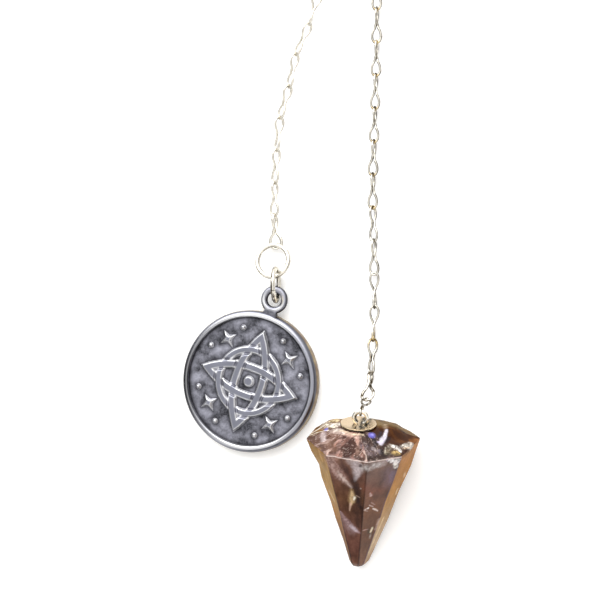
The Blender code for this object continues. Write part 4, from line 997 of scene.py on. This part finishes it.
def reliefHeight(values, x, y):
    longOval, crossOval, ring, small = reliefFigures(values, x, y)
    bevel = values["bevel"]

    def profile(distance):
        return smoothStep(-distance / bevel) + 0.08 * np.clip(-distance - bevel, 0, 0.4)

    def under(height, over, mask):
        # the band that passes under ends in a groove at the other's edge
        return np.where(mask, height * (0.3 + 0.7 * smoothStep((over - 0.02) / 0.3)), height)

    even, odd = x * y > 0, x * y <= 0
    longHeight = under(under(profile(longOval), crossOval, odd), ring, even)
    crossHeight = under(under(profile(crossOval), longOval, even), ring, odd)
    ringHeight = under(under(profile(ring), longOval, odd), crossOval, even)
    height = np.maximum(np.maximum(longHeight, crossHeight), ringHeight)
    nearest = np.minimum(np.minimum(longOval, crossOval), ring)
    for distance in small:
        height = np.maximum(height, smoothStep(-distance / (bevel * 1.15)))
        nearest = np.minimum(nearest, distance)
    return height, nearest


def toMedal(values, points):
    turn = math.radians(values["turn"])
    x, y, z = points.T
    return np.column_stack([
        values["place"][0] + x * math.cos(turn) + y * math.sin(turn),
        values["place"][1] - x * math.sin(turn) + y * math.cos(turn), z,
    ])


def buildMedal(values, material):
    top, outer, count = values["thickness"], values["radius"], values["segments"]
    field, inner = top - values["fieldDepth"], outer - values["rimWidth"]
    radii = np.arange(values["ringSpacing"], inner - 0.12, values["ringSpacing"])
    angles = np.linspace(0, 2 * math.pi, count, endpoint=False)
    x, y = np.outer(radii, np.cos(angles)), np.outer(radii, np.sin(angles))
    relief, nearest = reliefHeight(values, x, y)
    wander = np.array([
        noise.noise(Vector((a, b, 2.0)) * values["unevenScale"]) for a, b in zip(x.ravel(), y.ravel())
    ]).reshape(x.shape)
    z = field + relief * values["reliefHeight"] + wander * values["unevenness"]
    # the rim from the field over its crest, down the side and under the disc
    rimR, rimZ = np.array([
        (inner - 0.08, field), (inner - 0.02, field + 0.05), (inner + 0.03, field + 0.18),
        (inner + 0.08, field + 0.34), (inner + 0.15, top - 0.09), (inner + 0.24, top - 0.03),
        (inner + 0.36, top), (inner + 0.50, top - 0.01), (inner + 0.62, top - 0.04),
        (inner + 0.74, top - 0.10), (inner + 0.86, top - 0.19), (inner + 0.96, top - 0.30),
        (inner + 1.04, top - 0.43), (inner + 1.10, top - 0.58), (outer, top - 0.78), (outer, top - 1.2),
        (outer, 1.0), (outer, 0.5), (outer - 0.04, 0.25), (outer - 0.12, 0.1), (outer - 0.28, 0.0),
        (outer - 1.2, 0.0), (1.0, 0.0),
    ]).T
    x = np.vstack([x, np.outer(rimR, np.cos(angles))])
    y = np.vstack([y, np.outer(rimR, np.sin(angles))])
    z = np.vstack([z, np.repeat(rimZ[:, None], count, axis=1)])
    rows, flatRows = len(z), len(radii)
    faces = [tuple(reversed(quad)) for quad in gridFaces(rows, count)]
    faces += [tuple(range(count)), tuple((rows - 1) * count + j for j in reversed(range(count)))]
    points = toMedal(values, np.column_stack([x.ravel(), y.ravel(), z.ravel()]))
    piece = meshPiece("reliefMedal", points, faces, material)

    raised, edge, patinaAndShade, side = np.zeros((4, rows, count))
    raised[:flatRows] = np.clip(relief, 0, 1)
    bevelShare = np.clip(-nearest / values["bevel"], 0, 2)
    edge[:flatRows] = np.clip(1 - np.abs(bevelShare - 0.75) / 0.7, 0, 1) * (nearest < 0)
    # dark colour is left round the figures and along the rim's foot
    pooled = np.exp(-np.clip(nearest, 0, None) / 0.42) * (nearest >= 0)
    patinaAndShade[:flatRows] = np.maximum(pooled, np.exp(-(inner - radii) / 0.5)[:, None] * (relief < 0.3))
    rimRaised = np.clip((rimZ - field) / values["fieldDepth"], 0, 1)
    raised[flatRows:] = np.where(rimR < inner + 0.3, rimRaised, 1.0)[:, None]
    # painted highlight and shade: the rim's crest is painted brightest at the head and the foot, and painted
    # shade darkens the rim on the left
    turned = angles - math.radians(values["turn"])
    rubbedAndHighlight = 0.08 + 0.92 * np.sin(turned) ** 4
    crest = np.clip(1.2 - np.abs(rimR - inner - 0.36) / 0.35, 0, 1) * (rimZ > field)
    ridge = np.clip(1 - np.abs(rimR - inner - 0.36) / 0.12, 0, 1) * (rimZ > field) * 0.4
    edge[flatRows:] = np.maximum(crest[:, None] * rubbedAndHighlight, ridge[:, None])
    foot = np.interp(rimR, (inner, inner + 0.1, inner + 0.7, inner + 1.05), (1.0, 0.1, 0.0, 0.75))
    leftShade = np.clip(-np.cos(turned), 0, 1) ** 2
    patinaAndShade[flatRows:] = np.maximum(foot[:, None], leftShade * (rimR > inner + 0.1)[:, None])
    # painted reflection: the side wall takes the warm flank colour all round
    side[flatRows:] = ((rimR > outer - 0.2) & (rimZ < top - 0.7) & (rimZ > 0.05))[:, None]
    for name, marks in (("raised", raised), ("edge", edge), ("patinaAndShade", patinaAndShade), ("side", side)):
        paint(piece, name, marks)
    return piece


def antiquedPewter(values):
    # cast pewter, darkened and then rubbed back: matt black grey in the field, satin on the raised figures
    # and bright where the edges were rubbed; it also carries painted highlights on the rim and the loop,
    # painted shade on the rim's left and round the loop, and a painted warm reflection on the side wall
    material, tree, shader = newMaterial("antiquedPewter", {"Metallic": 1.0})
    place = addNode(tree, "ShaderNodeTexCoord").outputs["Object"]
    raised, edge, patinaAndShade, side = (
        addNode(tree, "ShaderNodeAttribute", attribute_name=mark).outputs["Fac"]
        for mark in ("raised", "edge", "patinaAndShade", "side")
    )
    grain, blotch, mottle = (
        addNode(tree, "ShaderNodeTexNoise", {
            "Vector": place, "Scale": 1 / (size * mm), "Detail": detail, "Roughness": roughness,
        }).outputs["Fac"]
        for size, detail, roughness in (values["grain"], values["blotch"], values["mottle"])
    )
    cloud = addNode(tree, "ShaderNodeMapRange", {
        "Value": mottle, "From Min": 0.35, "From Max": 0.65,
        "To Min": -values["cloud"], "To Max": values["cloud"],
    })
    fieldTone = addNode(tree, "ShaderNodeMath", {
        0: grain, 1: cloud.outputs["Result"],
    }, operation="ADD", use_clamp=True)
    flankTone = addNode(tree, "ShaderNodeMapRange", {"Value": blotch, "From Min": 0.4, "From Max": 0.62})
    field, figures, flank = (
        addNode(tree, "ShaderNodeMix", {
            "Factor": share, 6: linearColour(dark), 7: linearColour(light),
        }, data_type="RGBA").outputs[2]
        for share, (dark, light) in (
            (fieldTone.outputs[0], values["field"]), (blotch, values["figures"]),
            (flankTone.outputs["Result"], values["flank"]),
        )
    )
    worn = addNode(tree, "ShaderNodeMapRange", {
        "Value": raised, "From Min": 0.25, "From Max": 0.8,
    }, interpolation_type="SMOOTHSTEP").outputs["Result"]
    pooled = addNode(tree, "ShaderNodeMath", {0: patinaAndShade, 1: 0.9}, operation="MULTIPLY")
    shown = field
    for share, over in (
        (worn, figures), (pooled.outputs[0], linearColour(values["pooled"])),
        (edge, linearColour(values["rubbedAndHighlight"])), (side, flank),
    ):
        shown = addNode(tree, "ShaderNodeMix", {
            "Factor": share, 6: shown, 7: over,
        }, data_type="RGBA").outputs[2]
    tree.links.new(shown, shader.inputs["Base Color"])
    roughness = addNode(tree, "ShaderNodeMapRange", {
        "Value": worn, "To Min": values["dull"], "To Max": values["satin"],
    })
    tree.links.new(roughness.outputs["Result"], shader.inputs["Roughness"])
    bump = addNode(tree, "ShaderNodeBump", {
        "Height": grain, "Strength": 0.55, "Distance": values["grainDepth"] * mm,
    })
    tree.links.new(bump.outputs["Normal"], shader.inputs["Normal"])
    return material


def buildLoop(values, material):
    # cast loop and its neck, melted together
    place = Matrix.Translation((0.0, values["loopReach"], values["loopHeight"]))
    torus = bentWire(
        "loopTorus", material, place, values["loopRadius"], values["loopWire"], -90, 360,
        values["loopSegments"], values["loopSides"],
    )
    ends = (values["radius"] - 0.6, values["loopReach"] - values["loopRadius"])
    block = []
    for y, (half, low, high) in zip(ends, values["neck"]):
        block += [(-half, y, low), (half, y, low), (half, y, high), (-half, y, high)]
    blockFaces = [(0, 1, 2, 3), (7, 6, 5, 4), (0, 4, 5, 1), (1, 5, 6, 2), (2, 6, 7, 3), (3, 7, 4, 0)]
    loop = joined("medalLoop", [torus, meshPiece("loopNeck", block, blockFaces, material)])
    remesh = loop.modifiers.new("Melt", "REMESH")
    remesh.mode = "VOXEL"
    remesh.voxel_size = values["meltSize"] * mm
    remesh.use_smooth_shade = True
    soften = loop.modifiers.new("Soften", "SMOOTH")
    soften.factor = 0.5
    soften.iterations = values["softenSteps"]
    mesh = evaluated(loop)
    loop.modifiers.clear()
    bpy.data.objects.remove(loop, do_unlink=True)
    mesh.transform(Matrix.Translation((values["place"][0] * mm, values["place"][1] * mm, 0.0))
                   @ Matrix.Rotation(-math.radians(values["turn"]), 4, "Z"))
    mesh.materials.clear()
    mesh.materials.append(material)
    piece = placed("medalLoop", mesh)

    x, y, _ = pointsOf(mesh).T
    upward = normalsOf(mesh)[:, 2]
    fromMiddle = np.hypot(x - values["place"][0], y - values["place"][1])
    neckShare = smoothStep((values["radius"] + 0.75 - fromMiddle) / 0.4)
    paint(piece, "raised", 0.58 - 0.3 * neckShare)
    # painted highlights: the loop's crest is painted bright at the left and at the lower right
    middle = toMedal(values, np.array([[0.0, values["loopReach"], 0.0]]))[0]
    around = np.arctan2(y - middle[1], x - middle[0])
    rubbedAndHighlight = np.maximum(np.cos(around - math.radians(190)), np.cos(around - math.radians(-40)))
    crest = smoothStep((upward - 0.93) / 0.06) * (0.15 + 0.8 * np.clip(rubbedAndHighlight, 0, 1) ** 3)
    paint(piece, "edge", crest * (1 - neckShare))
    # painted shade where the loop turns away from above, and darker at its neck
    paint(piece, "patinaAndShade", np.maximum(smoothStep((0.88 - upward) / 0.45) * 0.95, neckShare * 0.6))
    return piece


pewter = antiquedPewter(medal)
medalPiece = buildMedal(medal, pewter)
loopPiece = buildLoop(medal, pewter)
finishPiece(medalPiece, "medal")
finishPiece(loopPiece, "medal")
print("medal done:", len(medalPiece.data.polygons), "faces")


# jump rings: one stands on its edge in the medal's loop, and the other hangs on it and lies nearly flat
rings = {
    "radius": 2.71, "wire": 0.78, "clearance": 0.06, "standingLean": 8.0, "heldAngle": 33.0, "skew": 20.0,
    "hookAngle": 8.0, "segments": 72, "sides": 16, "floorGap": 0.03,
    "sweep": 358.4,  # the two cut ends of the wire nearly meet
    "standingSeam": 200.0, "flatSeam": 222.0,
    "standingTarnishAndShade": 0.35, "leftFlankShade": 1.0, "flatTarnishAndShade": 0.4,
    "warmShadeSpot": (1.2, -1.6, 0.4), "warmShadeReach": 1.6,
}
# chain: figure-eight links along a route, from the flat ring up the left strand, round the hidden fold and
# down the right strand to the cap's eye
chain = {
    "pitch": 5.42, "links": 34, "wire": 0.40, "halfWidth": 0.72, "waist": 0.215,
    # one eye of a link: how far from the waist to the eye's end, and how far out
    "eye": ((0.17, 0.42), (0.34, 0.78), (0.55, 0.99), (0.74, 0.97), (0.89, 0.70), (0.975, 0.32)),
    "smoothSteps": 3, "sides": 8, "firstTurn": 60.0, "lastTurn": 120.0,
    "linkTurns": {0: 85, 1: 75, 2: 60, 3: 45, -6: 8, -5: 88, -4: 85, -3: 45, -2: 6},
    # x, y, height above lying flat, turn about the strand
    "leftStrand": (
        (-4.95, -5.70, 0.0, 30.0), (-5.00, -3.25, 0.0, 40.0), (-4.90, -0.70, 0.0, 55.0),
        (-4.52, 5.80, 0.0, 80.0), (-4.15, 10.30, 0.0, 65.0), (-3.60, 12.00, 0.0, 50.0),
        (-2.85, 14.10, 0.0, 40.0), (-2.08, 17.40, 0.0, 55.0), (-1.42, 20.40, 0.0, 75.0),
        (-0.60, 23.10, 0.0, 60.0), (0.90, 25.80, 0.0, 35.0), (2.10, 28.40, 0.0, 20.0),
    ),
    "rightStrand": (
        (12.75, 25.30, 0.0, 0.0), (12.55, 15.50, 0.0, 0.0), (12.38, 10.10, 0.0, 0.0),
        (12.21, 4.70, 0.0, 0.0), (12.05, -0.90, 0.0, 5.0), (12.12, -6.10, 0.0, 10.0),
        (12.30, -11.50, 0.0, 55.0), (12.34, -17.20, 0.0, 90.0), (12.38, -23.30, 0.0, 90.0),
        (12.15, -25.60, 0.0, 85.0), (11.80, -31.10, 0.0, 15.0), (12.10, -35.24, 3.28, 10.0),
    ),
    "loopSideX": 3.4, "loopSideRise": 8.0, "loopRise": 20.0, "routeSteps": 10, "loopPoints": 16,
    "wideEyes": {-2: (1.0, 1.35), 0: (1.45, 1.0), -3: (1.1, 1.1)},
    # how unevenly the links lie, up to where the photo ends
    "unevenUntil": 29.0, "turnSpread": 5.0, "width": 0.99, "widthSpread": (-0.05, 0.03),
    # the smooth round wire is a little fuller than the CAD's, so the far fold is drawn in for it
    "drawnFrom": (45.0, 62.0), "drawnIn": (0.0, 0.17),
    # painted shade: the strand by the stone is darker than the one by the medal: x, tarnish and shade
    "darkerFrom": (2.0, 8.0), "tarnishAndShade": (0.3, 1.0), "topside": 0.95, "underside": 0.66,
}
strandHeight = chain["halfWidth"] + chain["wire"] / 2 + rings["floorGap"]


def loopFarWire(values):
    turn = math.radians(values["turn"])
    reach = values["loopReach"] + values["loopRadius"]
    return Vector((
        values["place"][0] + reach * math.sin(turn), values["place"][1] + reach * math.cos(turn),
        values["loopHeight"],
    ))


def standingPlace(values, loopWire):
    lean = math.radians(values["standingLean"])
    height = values["radius"] * math.cos(lean) + values["wire"] / 2 + values["floorGap"]
    reach = values["radius"] - values["wire"] / 2 - medal["loopWire"] / 2 - values["clearance"]
    drop = (height - loopWire.z) / math.cos(lean)
    along = math.sqrt(reach * reach - drop * drop)
    return Vector((loopWire.x + drop * math.sin(lean), loopWire.y + along, height))


def flatPlace(values, standing):
    lean, below, skew, hook = (
        math.radians(values[key]) for key in ("standingLean", "heldAngle", "skew", "hookAngle")
    )
    reach = values["radius"] - (values["wire"] + values["clearance"]) / math.cos(skew)
    drop = reach * math.sin(below)
    held = standing + Vector((-drop * math.sin(lean), reach * math.cos(below), -drop * math.cos(lean)))
    tilt = math.asin((held.z - strandHeight) / (values["radius"] * (math.cos(skew) + math.cos(hook))))
    downhill, sideways = Vector((0, math.cos(tilt), -math.sin(tilt))), Vector((1, 0, 0))
    middle = held + values["radius"] * (downhill * math.cos(skew) - sideways * math.sin(skew))
    hooked = middle + values["radius"] * (downhill * math.cos(hook) + sideways * math.sin(hook))
    return middle, tilt, hooked


def buildRing(name, values, material, middle, turn, seam):
    place = Matrix.Translation(middle) @ turn.to_matrix().to_4x4()
    return bentWire(
        name, material, place, values["radius"], values["wire"], seam, values["sweep"],
        values["segments"], values["sides"],
    )


standingMiddle = standingPlace(rings, loopFarWire(medal))
flatMiddle, flatTilt, hookPlace = flatPlace(rings, standingMiddle)
standingTurn = Euler((0.0, math.radians(90.0 + rings["standingLean"]), 0.0))
flatTurn = Euler((-flatTilt, 0.0, 0.0))
standingRing = buildRing(
    "standingRing", rings, silverWire, standingMiddle, standingTurn, rings["standingSeam"],
)
flatRing = buildRing("flatRing", rings, silverWire, flatMiddle, flatTurn, rings["flatSeam"])
# tarnish and painted shade on the rings' flanks, and painted shade of its own on the standing ring's left
# flank
tarnishAndShadeFlanks(standingRing, rings["standingTarnishAndShade"], left=rings["leftFlankShade"])
# painted warm shade in the brass colour on the standing ring where it passes through the medal's loop
wearAndWarmShadePlaces(standingRing, [(standingMiddle + Vector(rings["warmShadeSpot"]), rings["warmShadeReach"])])
tarnishAndShadeFlanks(flatRing, rings["flatTarnishAndShade"])
finishPiece(standingRing, "standing_ring")
finishPiece(flatRing, "flat_ring")
print("jump rings done")


def hiddenLoop(values, rise):
    leftRow, rightRow = values["leftStrand"][-1], values["rightStrand"][0]
    start = max(leftRow[1], rightRow[1]) + values["loopSideRise"]
    half = (rightRow[0] - values["loopSideX"]) / 2
    rows = [(values["loopSideX"], start + rise * share) for share in (0.0, 0.5, 1.0)]
    for i in range(1, values["loopPoints"]):
        angle = math.pi * i / values["loopPoints"]
        rows.append((
            values["loopSideX"] + half - half * math.cos(angle), start + rise + half * math.sin(angle)
        ))
    rows += [(rightRow[0], start + rise * share) for share in (1.0, 0.5, 0.0)]
    turns = np.linspace(leftRow[3], rightRow[3], len(rows) + 2)[1:-1]
    return [(x, y, 0.0, turn) for (x, y), turn in zip(rows, turns)]


def smoothRoute(rows, steps):
    # centripetal curve through the rows
    points = np.array(rows)
    points = np.vstack([2 * points[0] - points[1], points, 2 * points[-1] - points[-2]])
    smooth = []
    for p0, p1, p2, p3 in zip(points, points[1:], points[2:], points[3:]):
        t1 = math.sqrt(np.linalg.norm(p1[:3] - p0[:3]))
        t2 = t1 + math.sqrt(np.linalg.norm(p2[:3] - p1[:3]))
        t3 = t2 + math.sqrt(np.linalg.norm(p3[:3] - p2[:3]))
        for t in np.linspace(t1, t2, steps, endpoint=False):
            a1 = p0 + (p1 - p0) * t / t1
            a2 = p1 + (p2 - p1) * (t - t1) / (t2 - t1)
            a3 = p2 + (p3 - p2) * (t - t2) / (t3 - t2)
            b1 = a1 + (a2 - a1) * t / t2
            b2 = a2 + (a3 - a2) * (t - t1) / (t3 - t1)
            smooth.append(b1 + (b2 - b1) * (t - t1) / (t2 - t1))
    smooth.append(points[-2])
    return np.array(smooth)


def jointsAlong(route, pitch):
    joints = [route[0]]
    for start, end in zip(route, route[1:]):
        while np.linalg.norm(end[:3] - joints[-1][:3]) >= pitch:
            low, high = 0.0, 1.0
            for _ in range(40):
                middle = (low + high) / 2
                point = start + (end - start) * middle
                if np.linalg.norm(point[:3] - joints[-1][:3]) < pitch:
                    low = middle
                else:
                    high = middle
            joints.append(start + (end - start) * high)
    return joints, float(np.linalg.norm(route[-1][:3] - joints[-1][:3]))


def chainJoints(values, first, last):
    rise = values["loopRise"]
    # the fold is lengthened until the links just fill the route
    for _ in range(12):
        rows = [(*first, values["firstTurn"])]
        for strand in (values["leftStrand"], hiddenLoop(values, rise), values["rightStrand"]):
            rows += [(x, y, strandHeight + lift, turn) for x, y, lift, turn in strand]
        rows += [(*last, values["lastTurn"])]
        joints, rest = jointsAlong(smoothRoute(rows, values["routeSteps"]), values["pitch"])
        rise += ((values["links"] - len(joints) + 1) * values["pitch"] - rest) / 2
    return joints[:values["links"]] + [np.array([*last, values["lastTurn"]])]


def linkPath(values):
    # one closed wire: round the first eye, through the waist, round the second and back
    half = (values["pitch"] + values["wire"]) / 2
    waist = values["waist"] * math.sqrt(0.5)
    side = [(along * half, across * values["halfWidth"]) for along, across in values["eye"]]
    eye = side + [(half, 0.0)] + [(along, -across) for along, across in reversed(side)]
    path = [(-along, across, 0.0) for along, across in eye] + [(0.0, -waist, -waist)]
    path += [(along, 0.0, -across) for along, across in eye] + [(0.0, waist, waist)]
    points = np.array(path)
    count, smooth = len(points), []
    for i in range(count):
        p0, p1, p2, p3 = (points[(i + k) % count] for k in (-1, 0, 1, 2))
        for t in np.arange(values["smoothSteps"]) / values["smoothSteps"]:
            smooth.append(0.5 * (
                2 * p1 + (p2 - p0) * t + (2 * p0 - 5 * p1 + 4 * p2 - p3) * t ** 2
                + (3 * p1 - p0 - 3 * p2 + p3) * t ** 3
            ))
    return np.array(smooth)


def layLinks(values, joints):
    # middle, turn and width of each link
    uneven = random.Random(5)
    middles, turns, widths = [], [], []
    for i, (start, end) in enumerate(zip(joints, joints[1:])):
        near, far = Vector(start[:3]), Vector(end[:3])
        along = (far - near).normalized()
        side = along.cross(Vector((0, 0, 1))).normalized()
        upward = side.cross(along)
        fromEnd = i - values["links"]
        loose = 1.0 if (near.y + far.y) / 2 < values["unevenUntil"] else 0.0
        turn = values["linkTurns"].get(i, values["linkTurns"].get(fromEnd))
        if turn is None:
            spread = values["turnSpread"]
            turn = (start[3] + end[3]) / 2 + uneven.uniform(-spread, spread) * loose
        turn = math.radians(turn)
        across = upward * math.cos(turn) + side * math.sin(turn)
        turns.append(Matrix((along, across, along.cross(across))).transposed().to_quaternion())
        wide = values["wideEyes"].get(i, values["wideEyes"].get(fromEnd, (1.0, 1.0)))
        drawnIn = float(np.interp((near.y + far.y) / 2, values["drawnFrom"], values["drawnIn"]))
        middles.append((near + far) / 2 - Vector((0.0, drawnIn, 0.0)))
        widths.append((
            (far - near).length / values["pitch"],
            wide[0] * (values["width"] + uneven.uniform(*values["widthSpread"]) * loose),
            wide[1] * (values["width"] + uneven.uniform(*values["widthSpread"]) * loose),
        ))
    return middles, turns, widths


def buildChain(values, material):
    first = hookPlace - Vector((0, 1, 0)) * rings["wire"] / 2
    eyeTop = stonePlace @ (eyeMiddle + Vector((0, 0, cap["eyeRadius"])))
    x, y, lift, _ = values["rightStrand"][-1]
    towards = Vector((x, y, lift + strandHeight))
    last = eyeTop + (eyeTop - towards).normalized() * cap["eyeWire"] / 2
    joints = chainJoints(values, first, last)
    middles, turns, widths = layLinks(values, joints)
    base = bpy.data.meshes.new("linkMiddles")
    base.from_pydata([tuple(middle * mm) for middle in middles], [], [])
    for name, kind, key, rows in (
        ("linkTurn", "QUATERNION", "value", turns), ("linkWidth", "FLOAT_VECTOR", "vector", widths),
    ):
        layer = base.attributes.new(name, kind, "POINT")
        layer.data.foreach_set(key, np.array([tuple(row) for row in rows], dtype=np.float32).ravel())
    path = linkPath(values) * mm
    pathMesh = bpy.data.meshes.new("linkPath")
    pathMesh.from_pydata(path.tolist(), [(i, (i + 1) % len(path)) for i in range(len(path))], [])
    pathObject = placed("linkPath", pathMesh)
    made = bakeTree("linkChain", chainTree(), {
        "Link Path": pathObject, "Wire Radius": values["wire"] / 2 * mm, "Sides": values["sides"],
        "Finish": material,
    }, baseMesh=base)
    bpy.data.objects.remove(pathObject, do_unlink=True)
    return made, np.array([joint[:3] for joint in joints])


chainPiece, jointPlaces = buildChain(chain, silverWire)
# painted shade: darker flanks along the strand by the stone
darkening = np.interp(pointsOf(chainPiece.data)[:, 0], chain["darkerFrom"], chain["tarnishAndShade"])
tarnishAndShadeFlanks(chainPiece, darkening, chain["topside"], chain["underside"])
# worn to the brass at one joint near the stone and a little at those before it
wearAndWarmShadePlaces(chainPiece, [(jointPlaces[-4], 1.3)] + [(place, 0.6) for place in jointPlaces[-15:-7]])
finishPiece(chainPiece, "chain")
print("chain done:", len(chainPiece.data.polygons), "faces")
